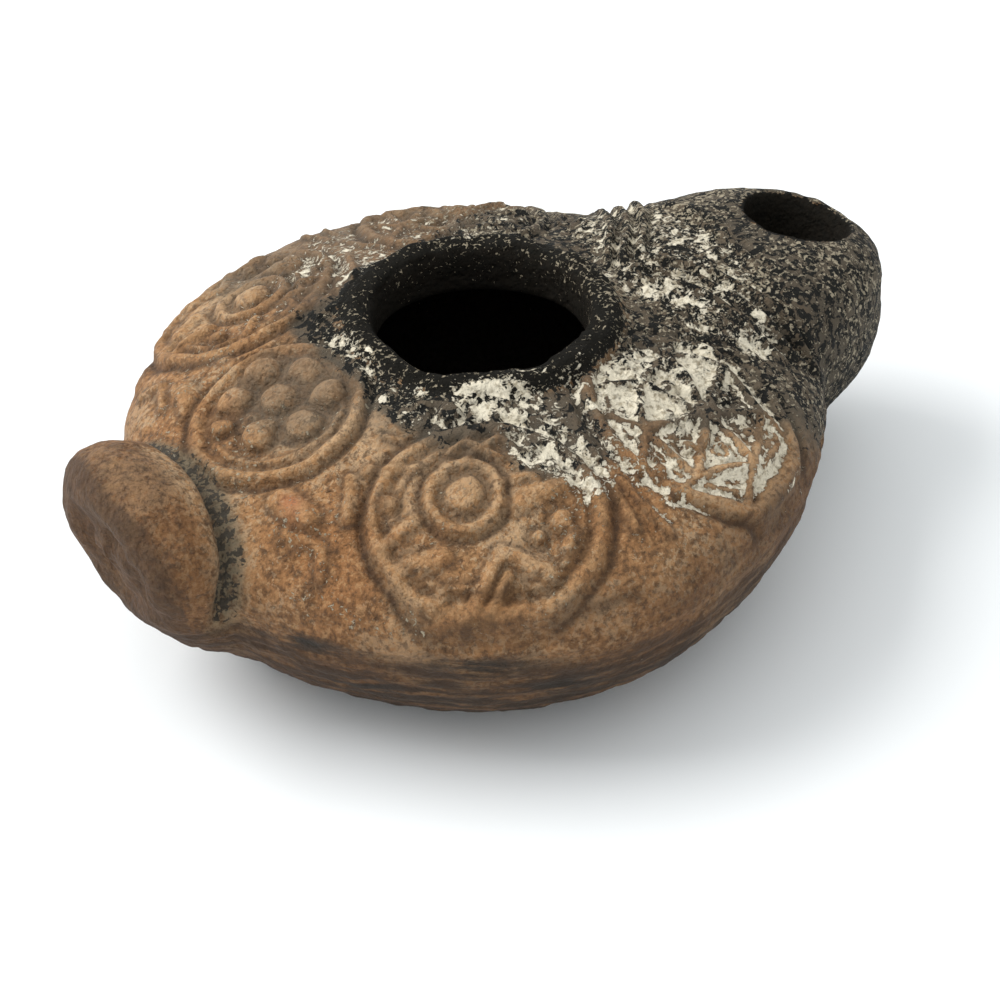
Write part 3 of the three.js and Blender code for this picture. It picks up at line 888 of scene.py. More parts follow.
class ClayMaterial:
    """The worn, sooted and lime-crusted clay, with painted shade on its bowl, in its grooves and at the handle's
    join.
    """

    def __init__(self, finish: ClayFinish, specks: bpy.types.NodeTree, grain: bpy.types.NodeTree) -> None:
        """Builds the material.

        Args:
            finish: Colours and gloss.
            specks: The speck mask group.
            grain: The grain height group.
        """
        self.material = bpy.data.materials.new("fired_clay")
        self.material.use_nodes = True
        self.tree = self.material.node_tree
        self.tree.nodes.clear()
        self.wiring = Wiring(self.tree)
        self.finish = finish
        self.specks = specks
        self.grain = grain
        self.build()

    def mask(self, name: str) -> bpy.types.NodeSocket:
        """A mask stored on the mesh.

        Args:
            name: The attribute's name.

        Returns:
            Its value's socket.
        """
        made = self.wiring.node("ShaderNodeAttribute", attribute_name=name, attribute_type="GEOMETRY")
        return made.outputs["Fac"]

    def group(self, tree: bpy.types.NodeTree, **values: object) -> bpy.types.Node:
        """Adds a node group and sets its inputs.

        Args:
            tree: The group.
            values: Inputs by name.

        Returns:
            The group's node.
        """
        made = self.wiring.node("ShaderNodeGroup", node_tree=tree)
        for name, value in values.items():
            self.wiring.join(value, made.inputs[name])
        return made

    def specked(self, place: object, density: object, scale: float) -> bpy.types.NodeSocket:
        """A ragged mask.

        Args:
            place: Where it is read.
            density: How much it covers.
            scale: Waves in a metre.

        Returns:
            The mask's socket.
        """
        return self.group(self.specks, Vector=place, Density=density, Scale=scale).outputs["Mask"]

    def bare_clay(self, place: object, broad: object, medium: object, fine: object) -> bpy.types.NodeSocket:
        """Mottled clay, paler where worn on the relief, with painted shade in its grooves and at the handle's join,
        and darker at the foot of the raised forms and on the handle's end face.

        Args:
            place: Where it is read.
            broad: Slow noise.
            medium: Noise over a few millimetres.
            fine: Noise under a millimetre.

        Returns:
            The colour's socket.
        """
        w, f = self.wiring, self.finish
        clay = w.blend(w.step(broad, 0.32, 0.66), f.mid, f.light)
        warm = w.math("MULTIPLY", w.step(w.noise(place, 150.0, 3.0), 0.48, 0.66), 0.5)
        warm = w.math("MAXIMUM", warm, w.math("MULTIPLY", self.mask("warm"), 0.85))
        clay = w.blend(warm, clay, f.ochre)
        clay = w.blend(w.math("MULTIPLY", w.step(medium, 0.44, 0.66), 0.5), clay, f.deep)
        pale = self.specked(place, w.step(broad, 0.2, 0.8), 1600.0)
        pale = w.math("MULTIPLY", pale, w.math("SUBTRACT", 0.75, w.math("MULTIPLY", self.mask("warm"), 0.45)))
        clay = w.blend(pale, clay, f.fleck)
        clay = w.blend(w.math("MULTIPLY", w.step(fine, 0.52, 0.62), 0.55), clay, f.light)
        pitted = w.noise(place, 1000.0, 5.0, 0.7)
        clay = w.blend(w.math("MULTIPLY", w.step(pitted, 0.48, 0.36), 0.45), clay, f.deep)
        clay = w.blend(w.math("MULTIPLY", w.step(fine, 0.5, 0.36), 0.6), clay, f.deep)
        clay = w.blend(w.math("MULTIPLY", self.mask("spot"), 0.75), clay, f.red)
        worn = w.math("MULTIPLY", self.mask("relief"), w.step(medium, 0.34, 0.58))
        clay = w.blend(w.math("MULTIPLY", worn, 0.45), clay, f.light)
        # Painted shade in the grooves and at the handle's join; also darker at the foot of the raised forms and on
        # the handle's end face.
        return w.blend(w.math("MULTIPLY", self.mask("hollow"), 0.8), clay, f.deep)

    def build(self) -> None:
        """Lays clay, painted shade on the bowl, dust, stains with painted shade at the handle's join, soot, char and
        lime over each other, then sets gloss and bumps.
        """
        w, f = self.wiring, self.finish
        place = w.node("ShaderNodeTexCoord").outputs["Object"]
        stretch = w.node("ShaderNodeMapping")
        w.join(place, stretch.inputs["Vector"])
        stretch.inputs["Scale"].default_value = (0.3, 0.3, 1.7)
        broad = w.noise(place, 80.0, 3.0)
        medium = w.noise(place, 360.0, 4.0, 0.6)
        fine = w.noise(place, 1500.0, 4.0, 0.65)
        streaks = w.noise(stretch.outputs["Vector"], 560.0, 4.0, 0.62)
        clay = self.bare_clay(place, broad, medium, fine)
        # Painted shade on the lower bowl and low front shoulder, broken by dark streaks.
        shade_and_streaks = w.math("ADD", w.math("MULTIPLY", w.step(streaks, 0.36, 0.6), 0.3), 0.7)
        clay = w.blend(w.math("MULTIPLY", self.mask("bowl"), shade_and_streaks), clay, f.deep)
        dusty = self.mask("dust")
        clay = w.blend(w.math("MULTIPLY", dusty, w.step(fine, 0.3, 0.58)), clay, f.dust)
        cracks = self.specked(place, w.math("MULTIPLY", dusty, 0.62), 1300.0)
        clay = w.blend(w.math("MULTIPLY", cracks, 0.9), clay, f.char)
        # Stains, with painted shade at the join of handle and body.
        clay = w.blend(self.mask("stain_and_shade"), clay, f.stain_and_shade)
        soot = self.mask("soot")
        cover = w.math("MAXIMUM", w.step(soot, 0.8, 1.0), self.specked(place, soot, 900.0))
        clay = w.blend(w.math("MULTIPLY", cover, 0.985), clay, f.soot)
        burnt = w.math("MULTIPLY", self.mask("char"), w.step(streaks, 0.38, 0.54))
        clay = w.blend(burnt, clay, f.char)
        crumbs = self.specked(place, self.mask("crumbs"), 2100.0)
        clay = w.blend(w.math("MULTIPLY", crumbs, 0.85), clay, f.old_lime)
        lime = self.mask("lime")
        patches = self.specked(place, lime, 720.0)
        grit = self.specked(place, w.math("MULTIPLY", lime, 0.95), 1900.0)
        crust = w.math("MAXIMUM", patches, w.math("MULTIPLY", grit, 0.75))
        crust = w.math("MULTIPLY", crust, w.step(lime, 0.04, 0.16))
        lime_colour = w.blend(w.step(fine, 0.46, 0.66), f.lime, f.old_lime)
        clay = w.blend(w.math("MULTIPLY", crust, 0.94), clay, lime_colour)
        shader = w.node("ShaderNodeBsdfPrincipled")
        w.join(clay, shader.inputs["Base Color"])
        rough = w.node("ShaderNodeMapRange")
        w.join(medium, rough.inputs["Value"])
        rough.inputs["To Min"].default_value = f.roughness - f.roughness_swing
        rough.inputs["To Max"].default_value = f.roughness + f.roughness_swing
        w.join(rough.outputs["Result"], shader.inputs["Roughness"])
        gloss = w.blend(soot, (f.specular,) * 3, (f.sooted_specular,) * 3)
        w.join(gloss, shader.inputs["Specular IOR Level"])
        grain = self.group(self.grain, Vector=place, Scale=1700.0).outputs["Height"]
        raised = w.math("MULTIPLY", w.math("MAXIMUM", crust, w.math("MULTIPLY", crumbs, 0.6)), 0.35)
        swell = w.node("ShaderNodeBump")
        swell.inputs["Strength"].default_value = f.swell_strength
        swell.inputs["Distance"].default_value = f.swell_depth
        w.join(medium, swell.inputs["Height"])
        bump = w.node("ShaderNodeBump")
        bump.inputs["Strength"].default_value = f.grain_strength
        bump.inputs["Distance"].default_value = f.grain_depth
        w.join(w.math("ADD", w.math("MULTIPLY", grain, 0.65), raised), bump.inputs["Height"])
        w.join(swell.outputs["Normal"], bump.inputs["Normal"])
        w.join(bump.outputs["Normal"], shader.inputs["Normal"])
        exit_node = w.node("ShaderNodeOutputMaterial")
        w.join(shader.outputs["BSDF"], exit_node.inputs["Surface"])


class FloorMaterial:
    """A smooth white surface with a faint grain."""

    def __init__(self, finish: FloorFinish, grain: bpy.types.NodeTree) -> None:
        """Builds the material.

        Args:
            finish: Colour and gloss.
            grain: The grain height group.
        """
        self.material = bpy.data.materials.new("white_floor")
        self.material.use_nodes = True
        tree = self.material.node_tree
        wiring = Wiring(tree)
        shader = tree.nodes["Principled BSDF"]
        shader.inputs["Base Color"].default_value = (*finish.colour, 1.0)
        shader.inputs["Roughness"].default_value = finish.roughness
        shader.inputs["Specular IOR Level"].default_value = finish.specular
        made = wiring.node("ShaderNodeGroup", node_tree=grain)
        wiring.join(wiring.node("ShaderNodeTexCoord").outputs["Object"], made.inputs["Vector"])
        made.inputs["Scale"].default_value = finish.grain_scale
        bump = wiring.node("ShaderNodeBump")
        bump.inputs["Strength"].default_value = finish.grain_strength
        bump.inputs["Distance"].default_value = finish.grain_depth
        wiring.join(made.outputs["Height"], bump.inputs["Height"])
        wiring.join(bump.outputs["Normal"], shader.inputs["Normal"])


@dataclass
class Lamp:
    """The whole lamp: one hollow piece of clay with relief on its shoulder."""

    body: BodyForm = field(default_factory=BodyForm)
    nozzle: NozzleForm = field(default_factory=NozzleForm)
    handle: HandleForm = field(default_factory=HandleForm)
    mouth: MouthForm = field(default_factory=MouthForm)
    medallions: tuple[Medallion, ...] = (
        Medallion(MedallionKind.PELLETS, 178.8, 24.2, 9.0, 8.7),
        Medallion(MedallionKind.STAR, -121.8, 28.0, 11.4, 9.6, 1.0),
        Medallion(MedallionKind.STAR, 126.5, 27.4, 10.8, 9.3, -1.0),
        Medallion(MedallionKind.WHEEL, -64.5, 24.9, 10.2, 11.0, 1.0),
        Medallion(MedallionKind.WHEEL, 64.5, 24.9, 10.2, 11.0, -1.0),
    )
    voxel: float = 0.32
    quick_voxel: float = 0.6
    eases: int = 45
    quick_eases: int = 12
    most_faces: int = 190000

    def solid(self, name: str, rows: list[np.ndarray]) -> bpy.types.Object:
        """A closed mesh from loops, capped at both ends.

        Args:
            name: The object's name.
            rows: Loops of points in millimetres.

        Returns:
            The object, in metres.
        """
        around = len(rows[0])
        points = np.concatenate([*rows, rows[0].mean(0)[None], rows[-1].mean(0)[None]]) * MM
        first, last = len(points) - 2, len(points) - 1
        faces = []
        for row in range(len(rows) - 1):
            for side in range(around):
                after = (side + 1) % around
                a, b = row * around + side, row * around + after
                faces.append((a, b, b + around, a + around))
        top = (len(rows) - 1) * around
        for side in range(around):
            after = (side + 1) % around
            faces.append((first, after, side))
            faces.append((last, top + side, top + after))
        mesh = bpy.data.meshes.new(name)
        mesh.from_pydata(points.tolist(), [], faces)
        made = bpy.data.objects.new(name, mesh)
        bpy.context.collection.objects.link(made)
        return made

    def turned(self, name: str, profile: list[tuple[float, float]], around: int) -> bpy.types.Object:
        """A round solid from a profile of radius and height.

        Args:
            name: The object's name.
            profile: Radius and height, from the bottom up, without the points on the axis.
            around: Points round it.

        Returns:
            The object.
        """
        angle = np.arange(around) / around * 2 * math.pi
        rows = [np.stack([r * np.cos(angle), r * np.sin(angle), np.full(around, z)], 1) for r, z in profile]
        return self.solid(name, rows)

    def rim(self) -> bpy.types.Object:
        """The rounded rim round the filling hole, as a disc.

        Returns:
            The object.
        """
        m, top = self.mouth, self.body.top_z + self.mouth.rim_height
        edge = m.rim_radius + m.rim_half
        profile = [(edge, self.body.top_z - 6.0), (edge, self.body.top_z - 0.8)]
        for step in range(1, 7):
            turn = step / 6 * math.pi / 2
            profile.append((m.rim_radius + m.rim_half * math.cos(turn), top - 1.8 + 1.8 * math.sin(turn)))
        profile.append((m.rim_radius - m.rim_half * 0.6, top - 0.12))
        return self.turned("rim", profile, 120)

    def mouth_cutter(self) -> bpy.types.Object:
        """The filling hole, flared at its lip and a little out of round.

        Returns:
            The object.
        """
        m, top = self.mouth, self.body.top_z + self.mouth.rim_height
        profile = [(m.radius, self.body.top_z - self.body.wall - 3.0), (m.radius, top - 1.6)]
        lip = m.radius + m.flare
        profile += [(m.radius + 0.25, top - 0.9), (lip, top - 0.2), (lip + 0.3, top + 0.6)]
        made = self.turned("mouth", profile, 120)
        angle_chip = math.radians(-148.0)
        for vertex in made.data.vertices:
            angle = math.atan2(vertex.co.y, vertex.co.x)
            off = math.remainder(angle - angle_chip, 2 * math.pi)
            wobble = 1.0 + 0.006 * math.sin(3 * angle + 0.7) + 0.004 * math.sin(7 * angle)
            chip = 0.06 * math.exp(-((off / 0.3) ** 2)) * (vertex.co.z > (top - 1.2) * MM)
            vertex.co.x *= wobble + chip
            vertex.co.y *= wobble + chip
        return made

    def wick_cutter(self) -> bpy.types.Object:
        """The wick hole, square to the sloping end of the nozzle.

        Returns:
            The object.
        """
        n = self.nozzle
        profile = [(n.wick_radius, -n.wick_depth), (n.wick_radius, -1.2), (n.wick_radius + 0.35, -0.3)]
        profile += [(n.wick_radius + 1.3, 4.0)]
        made = self.turned("wick_hole", profile, 72)
        turn = Matrix.Rotation(n.wick_tilt, 4, "Y")
        made.data.transform(Matrix.Translation((n.wick_x * MM, 0, n.wick_z * MM)) @ turn)
        return made

    def join(self, parts: list[bpy.types.Object], name: str) -> bpy.types.Object:
        """Joins objects into one mesh.

        Args:
            parts: The objects.
            name: Name for the result.

        Returns:
            The first object, holding all.
        """
        with bpy.context.temp_override(active_object=parts[0], selected_editable_objects=parts, object=parts[0]):
            bpy.ops.object.join()
        parts[0].name = name
        return parts[0]

    def apply(self, piece: bpy.types.Object) -> None:
        """Turns modifiers into plain mesh.

        Args:
            piece: The object.
        """
        bpy.context.view_layer.update()
        graph = bpy.context.evaluated_depsgraph_get()
        mesh = bpy.data.meshes.new_from_object(piece.evaluated_get(graph))
        piece.modifiers.clear()
        old = piece.data
        piece.data = mesh
        bpy.data.meshes.remove(old)

    def mesh(self) -> bpy.types.Object:
        """Builds the lamp's mesh.

        Returns:
            The lamp's object, in the row frame.
        """
        voxel = self.voxel
        outside = [
            self.solid("body", self.body.rows(0.0, 240, 40)),
            self.solid("nozzle", self.nozzle.rows(70, 120)),
            self.solid("handle", self.handle.rows(40, 100)),
            self.rim(),
        ]
        lamp = self.join(outside, "clay_lamp")
        inside = [
            self.solid("chamber", self.body.rows(self.body.wall, 120, 24)),
            self.solid("channel", self.nozzle.channel_rows(30, 48)),
            self.mouth_cutter(),
            self.wick_cutter(),
        ]
        hollow = self.join(inside, "hollow")
        for piece, size in ((lamp, voxel), (hollow, voxel * 1.3)):
            remesh = piece.modifiers.new("fuse", "REMESH")
            remesh.mode = "VOXEL"
            remesh.voxel_size = size * MM
            self.apply(piece)
        self.soften(lamp)
        cut = lamp.modifiers.new("hollow", "BOOLEAN")
        cut.operation = "DIFFERENCE"
        cut.solver = "MANIFOLD"
        cut.object = hollow
        self.apply(lamp)
        bpy.data.objects.remove(hollow)
        remesh = lamp.modifiers.new("fuse", "REMESH")
        remesh.mode = "VOXEL"
        remesh.voxel_size = voxel * MM
        ease = lamp.modifiers.new("ease", "SMOOTH")
        ease.factor = 0.5
        ease.iterations = 3
        self.apply(lamp)
        self.carve(lamp)
        faces = sum(len(polygon.vertices) - 2 for polygon in lamp.data.polygons)
        if faces > self.most_faces:
            thin = lamp.modifiers.new("thin", "DECIMATE")
            thin.ratio = self.most_faces / faces
            self.apply(lamp)
        self.lay_patina_and_shade(lamp)
        lamp.data.polygons.foreach_set("use_smooth", np.ones(len(lamp.data.polygons), dtype=bool))
        lamp.data.transform(Matrix.Translation((HOLE_X * MM, 0, 0)))
        lamp.data.update()
        return lamp

    def soften(self, lamp: bpy.types.Object) -> None:
        """Runs the clay together where the nozzle and the handle meet the body.

        Args:
            lamp: The fused outside.
        """
        points = self.points(lamp)
        x, y, z = points.T
        waist = smooth(10, 18, x) * (1 - smooth(33, 38, x)) * smooth(4.0, 9.0, np.abs(y) + np.maximum(20 - z, 0))
        crevice = smooth(-41, -38.5, x) * (1 - smooth(-33, -31, x)) * (np.abs(y) < 17)
        group = lamp.vertex_groups.new(name="joints")
        for share, weight in ((1.0, waist), (0.25, crevice)):
            chosen = np.nonzero(weight > 0.05)[0]
            for level in (0.25, 0.5, 0.75, 1.0):
                band = chosen[(weight[chosen] > level - 0.25) & (weight[chosen] <= level)]
                if len(band):
                    group.add(band.tolist(), float(level * share), "REPLACE")
        ease = lamp.modifiers.new("joints", "SMOOTH")
        ease.factor = 0.5
        ease.iterations = self.eases
        ease.vertex_group = "joints"
        self.apply(lamp)

    def points(self, lamp: bpy.types.Object) -> np.ndarray:
        """The mesh's points, in millimetres from the filling hole's middle.

        Args:
            lamp: The lamp.

        Returns:
            Rows of positions.
        """
        flat = np.empty(len(lamp.data.vertices) * 3)
        lamp.data.vertices.foreach_get("co", flat)
        return flat.reshape(-1, 3) / MM

    def normals(self, lamp: bpy.types.Object) -> np.ndarray:
        """The mesh's outward directions at its points.

        Args:
            lamp: The lamp.

        Returns:
            Rows of unit vectors.
        """
        flat = np.empty(len(lamp.data.vertices) * 3)
        lamp.data.vertex_normals.foreach_get("vector", flat)
        return flat.reshape(-1, 3)

    def outside(self, points: np.ndarray, normals: np.ndarray) -> np.ndarray:
        """Which points lie on the lamp's outside rather than in its hollow.

        Args:
            points: Positions.
            normals: Outward directions.

        Returns:
            One where outside, nought where inside.
        """
        x, y, z = points.T
        n, b = self.nozzle, self.body
        dx = x - b.middle_x
        share = np.hypot(dx, y) / b.plan_radius(np.arctan2(y, dx))
        away = np.hypot(dx, y) + 1e-6
        outward = (normals[:, 0] * dx + normals[:, 1] * y) / away
        over = z > b.seam_z
        top = over & ((normals[:, 2] > 0.25) | (outward > 0.1))
        low = ~over & ((outward > 0.1) | (normals[:, 2] < -0.4))
        low &= (z < 4.0) | (share > 0.9) | (normals[:, 2] < -0.1) | (x > 20)
        low &= ~((share < 0.85) & (z > 9) & (normals[:, 2] < 0.4) & (x < 20))
        flank = np.interp(x, [n.start, n.root, n.tip], [n.start_half, n.root_half, n.tip_half]) - 2.0
        kept = top | low | (x > n.channel_end + 1.5) | ((x > 27.5) & (np.abs(y) > flank))
        kept |= (x < -35.3) | ((x < -31.5) & (z > 22.5))
        kept &= np.hypot(x, y) > self.mouth.radius + 0.4
        axis = np.array([math.sin(n.wick_tilt), 0.0, math.cos(n.wick_tilt)])
        offset = points - np.array([n.wick_x, 0.0, n.wick_z])
        along = offset @ axis
        radial = np.linalg.norm(offset - along[:, None] * axis, axis=1)
        kept &= ~((radial < n.wick_radius + 0.3) & (along > -n.wick_depth - 2))
        return kept.astype(float)

    def moulding(self, points: np.ndarray) -> Relief:
        """The whole moulded relief, worked out over given points.

        Args:
            points: Positions.

        Returns:
            The relief.
        """
        slip = np.stack([value_noise(points, 2.6, 51), value_noise(points, 2.6, 52)], 1)
        slip += 0.6 * np.stack([value_noise(points, 1.1, 53), value_noise(points, 1.1, 54)], 1)
        relief = Relief(points[:, :2] + 0.2 * slip, self.body)
        makers = {
            MedallionKind.PELLETS: relief.pellets,
            MedallionKind.STAR: relief.star,
            MedallionKind.WHEEL: relief.wheel,
        }
        for medallion in self.medallions:
            makers[medallion.kind](medallion)
        relief.nozzle_bands()
        relief.spandrels()
        return relief

    def upper(self, points: np.ndarray, kept: np.ndarray) -> np.ndarray:
        """Where the moulded relief lies: the shoulder, clear of rim, handle and wick hole.

        Args:
            points: Positions.
            kept: One on the outside.

        Returns:
            Shares from nought to one.
        """
        x, y, z = points.T
        rim = self.mouth.rim_radius + self.mouth.rim_half
        share = kept * smooth(self.body.seam_z - 0.5, self.body.seam_z + 1.6, z) * smooth(-36.5, -34.0, x)
        return share * smooth(rim - 0.4, rim + 0.8, np.hypot(x, y)) * (1 - smooth(34.0, 36.0, x))

    def carve(self, lamp: bpy.types.Object) -> None:
        """Raises the relief and the hand-made unevenness.

        Args:
            lamp: The lamp.
        """
        points, normals = self.points(lamp), self.normals(lamp)
        kept = self.outside(points, normals)
        x, y, z = points.T
        relief = self.moulding(points)
        worn = np.clip(1.0 + 0.35 * value_noise(points, 5.0, 3) + 0.2 * value_noise(points, 2.2, 5), 0.6, 1.3)
        lift = self.upper(points, kept) * worn * (relief.height - relief.cut)
        rough = 0.18 * value_noise(points, 7.0, 11) + 0.12 * value_noise(points, 2.6, 12)
        rough += 0.11 * value_noise(points, 1.3, 13) + 0.07 * value_noise(points, 0.75, 14)
        turning = 0.06 * np.sin(z * 3.6 + 0.8 * value_noise(points, 9.0, 21))
        turning = turning * (1 - smooth(14, 17, z)) * smooth(1, 4, z)
        seam = 0.2 * np.exp(-(((z - self.body.seam_z + 0.8) / 0.6) ** 2))
        seam = seam * smooth(-36, -33, x) * (1 - smooth(26, 30, x))
        dish = np.hypot((y + 1.8) / 8.6, (z - 20.6) / 7.6) + 0.12 * value_noise(points, 3.5, 18)
        dent = -1.3 * (1 - smooth(0.45, 1.0, dish)) * smooth(0.2, 0.6, -normals[:, 0]) * (x < -38)
        dent *= 1.0 + 0.5 * value_noise(points, 2.2, 19)
        gap = self.crevice(points)
        groove = -1.7 * np.exp(-((gap / 0.75) ** 2)) * smooth(15.5, 19.0, z) * (x < -30)
        lip = np.hypot(x, y) - self.mouth.radius
        rim = np.exp(-(((lip - 1.6) / 2.0) ** 2)) * (z > 29.5)
        nicks = rim * (0.3 * value_noise(points, 3.2, 16) - 0.6 * smooth(0.25, 0.8, value_noise(points, 2.4, 17)))
        lift += kept * smooth(0.6, 1.8, z) * (rough + turning + seam + dent + groove + nicks)
        moved = (points + normals * lift[:, None]) * MM
        lamp.data.vertices.foreach_set("co", moved.ravel())
        lamp.data.update()

    def crevice(self, points: np.ndarray) -> np.ndarray:
        """Distance along the lamp from the join between handle and body.

        Args:
            points: Positions.

        Returns:
            Signed distances.
        """
        x, y, z = points.T
        return x + 34.6 + 0.016 * y * y + 0.28 * np.maximum(24.0 - z, 0.0)

    def masks(self, points: np.ndarray, normals: np.ndarray, kept: np.ndarray) -> dict[str, np.ndarray]:
        """Where soot, lime, dust and the rest lie, and where shade is painted.

        Args:
            points: Positions.
            normals: Outward directions.
            kept: One on the outside.

        Returns:
            Masks by name.
        """
        x, y, z = points.T
        relief, upper = self.moulding(points), self.upper(points, kept)
        away, turn = np.hypot(x, y), np.degrees(np.arctan2(y, x))
        broad = 0.6 * value_noise(points, 7.0, 41) + 0.4 * value_noise(points, 3.0, 42)
        blots = value_noise(points, 4.0, 43)

        def sector(middle: float, spread: float) -> np.ndarray:
            off = (turn - middle + 180.0) % 360.0 - 180.0
            return np.exp(-((off / spread) ** 2))

        def zone(middle_x: float, middle_y: float, half_x: float, half_y: float) -> np.ndarray:
            far_off = np.hypot((x + broad - middle_x) / half_x, (y + 1.2 * blots - middle_y) / half_y)
            return np.exp(-(far_off ** 5))

        front = smooth(-6, 8, x + 3 * broad) * smooth(-29.0, -19.0, y + 3.0 * broad + 0.1 * x)
        front *= 1 - smooth(8.0, 26.0, y + 4.0 * broad - 0.4 * x)
        far = smooth(-6, 12, x + 3 * broad) * smooth(2, 8, y) * (1 - smooth(24, 34, y))
        ring = 1 - smooth(14.2, 16.4, away + 1.5 * broad)
        left = smooth(-18.5, -15.5, x + 1.5 * broad) * (x < -6) * (1 - smooth(9.0, 15.0, np.abs(y)))
        nozzle = smooth(30.0, 34.0, x + 2.0 * broad)
        bands = smooth(14.5, 17.0, x) * (1 - smooth(31.0, 34.0, x)) * smooth(-16.5, -13.0, y)
        bands *= 1 - smooth(10.0, 20.0, y + 3.5 * broad)
        soot = np.maximum.reduce([
            ring * 1.05, nozzle * 0.56, front * 0.6, far * 0.12, left * 0.74, bands * 0.66,
            zone(-9.0, -13.0, 7.5, 4.5) * 0.6, zone(-4.0, -18.5, 6.5, 7.5) * 0.52,
        ])
        soot *= 1 - 0.85 * (1 - smooth(9.0, 17.0, z + broad)) * (x < 27 + 4 * broad)
        soot = np.where(kept > 0.5, soot, 1.0)
        past_rim = smooth(12.6, 14.4, away + 0.8 * blots)
        lime = np.zeros(len(x))
        for middle_x, middle_y, half_x, half_y, strength in LIME_PATCHES:
            lime = np.maximum(lime, strength * zone(middle_x, middle_y, half_x, half_y))
        lime = np.maximum(lime * past_rim, 0.4 * (1 - smooth(0.0, 1.4, np.abs(away - 12.8))) * sector(-70, 80))
        wheel = smooth(-1.5, 1.0, x) * (1 - smooth(19.0, 21.0, x)) * smooth(-34, -31, y) * (1 - smooth(-15, -11, y))
        lined = relief.foot * (1 - smooth(0.25, 0.6, relief.height)) * (0.6 + 0.4 * smooth(-0.5, 0.3, blots))
        lime = np.maximum(lime * (0.85 + 0.5 * blots), wheel * lined)
        lime *= (1 - 0.42 * np.clip(relief.height / 0.5, 0, 1)) * smooth(16.5, 20.5, z + broad)
        crumbs = np.maximum(nozzle * (0.46 - 0.1 * smooth(36, 46, x)), bands * 0.5)
        crumbs = np.maximum(crumbs, 0.36 * ring * (away > self.mouth.radius + 0.6))
        crumbs = np.maximum.reduce([crumbs, front * 0.45, left * 0.4, far * 0.5]) * (0.85 + 0.5 * broad)
        crumbs = np.maximum(crumbs, 0.34 * upper * smooth(-0.3, 0.5, broad))
        gap = self.crevice(points)
        dust = np.exp(-(((gap - 0.3) / 1.5) ** 4)) * smooth(14, 18, z) * (x < -29)
        end = smooth(0.25, 0.7, 0.15 * broad - normals[:, 0]) * (1 - smooth(-40, -37, x))
        # Painted shade: darker towards the bottom of the bowl and low on the front shoulder, where the sides turn
        # from the light; the handle is darkened too.
        bowl = 1 - smooth(14.0, 20.0, z + 1.2 * broad)
        bowl = np.maximum(bowl, 0.75 * (1 - smooth(18.0, 26.0, z + 1.5 * broad)) * (0.4 + 0.6 * smooth(-14, 4, x)))
        handle = 1 - smooth(-39.5, -36.5, x + 0.4 * broad)
        bowl = np.maximum(bowl, 0.46 * handle)
        warm = np.maximum(handle, np.exp(-(((x + 29) / 8) ** 2 + ((y + 19) / 9) ** 2)))
        warm = np.maximum(warm, 0.7 * (1 - smooth(19.0, 25.0, z + 2.5 * broad)))
        near = y < 8
        char = np.zeros(len(x))
        for middle_x, middle_z, half_x, half_z, strength in CHAR_MARKS:
            off = ((x - middle_x) / half_x) ** 2 + ((z - middle_z) / half_z) ** 2
            char = np.maximum(char, strength * np.exp(-off) * near)
        char = np.maximum(char, 0.45 * (1 - smooth(9, 14, z + 2 * broad)) * smooth(-34, -28, x))
        stain_and_shade = 0.55 * smooth(-19, -12, x + 3 * broad) * smooth(-22.5, -16.5, y + 2 * broad) * upper
        stain_and_shade = np.maximum(stain_and_shade, 0.55 * (1 - smooth(16.5, 24.0, away + 2 * broad)))
        stain_and_shade = np.maximum(stain_and_shade, 0.9 * smooth(0.08, 0.5, soot) * upper)
        stain_and_shade = np.maximum(stain_and_shade, 0.5 * (1 - smooth(5.0, 9.0, np.hypot(x + 21.5, y - 0.5) + broad)) * upper)
        stain_and_shade = np.maximum(stain_and_shade, 0.95 * smooth(28, 33, x + broad) * kept)
        # Painted shade round the join of handle and body, in the same dark colour as the stains.
        joint = np.exp(-((gap / 1.6) ** 2)) * smooth(16, 19, z) * (x < -30)
        stain_and_shade = np.maximum(stain_and_shade, 0.4 * (np.abs(gap) < 4) * joint)
        spot = np.exp(-(((x + 29.4) / 1.1) ** 2 + ((y + 11.3) / 1.5) ** 2)) * (z > 20)
        # Painted shade in the grooves and the handle's crevice; also darker at the foot of the raised forms and, in
        # patches, on the handle's end face.
        hollow = np.maximum(np.clip(relief.cut / 0.4, 0, 1), 0.75 * relief.foot * (relief.height < 0.35)) * upper
        hollow = np.maximum(hollow, 0.95 * end * smooth(-1.2, 0.1, broad))
        hollow = np.maximum(hollow, 0.8 * np.exp(-((gap / 0.7) ** 2)) * smooth(17, 20, z) * (x < -30))
        return {
            "relief": np.clip(relief.height / 0.6, 0, 1) * upper,
            "hollow": hollow * kept,
            "soot": soot,
            "lime": np.clip(lime, 0, 1) * kept,
            "crumbs": np.where(kept > 0.5, np.clip(crumbs, 0, 1), 0.3 * smooth(26, 30, z) * (x > -6) * (x < 20)),
            "dust": dust * kept,
            "stain_and_shade": stain_and_shade * kept,
            "spot": spot * kept,
            "bowl": bowl * kept,
            "warm": warm * kept,
            "char": char * kept,
        }

    def lay_patina_and_shade(self, lamp: bpy.types.Object) -> None:
        """Stores the masks that the clay's material reads, painted shade among them.

        Args:
            lamp: The lamp.
        """
        points, normals = self.points(lamp), self.normals(lamp)
        for name, values in self.masks(points, normals, self.outside(points, normals)).items():
            layer = lamp.data.attributes.new(name, "FLOAT", "POINT")
            layer.data.foreach_set("value", values.astype(np.float32))

    def dress(self, lamp: bpy.types.Object, material: bpy.types.Material) -> None:
        """Gives the lamp its material and its place in the frame.

        Args:
            lamp: The lamp.
            material: The clay.
        """
        lamp.data.materials.clear()
        lamp.data.materials.append(material)
        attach(lamp, "root")
        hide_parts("lamp")


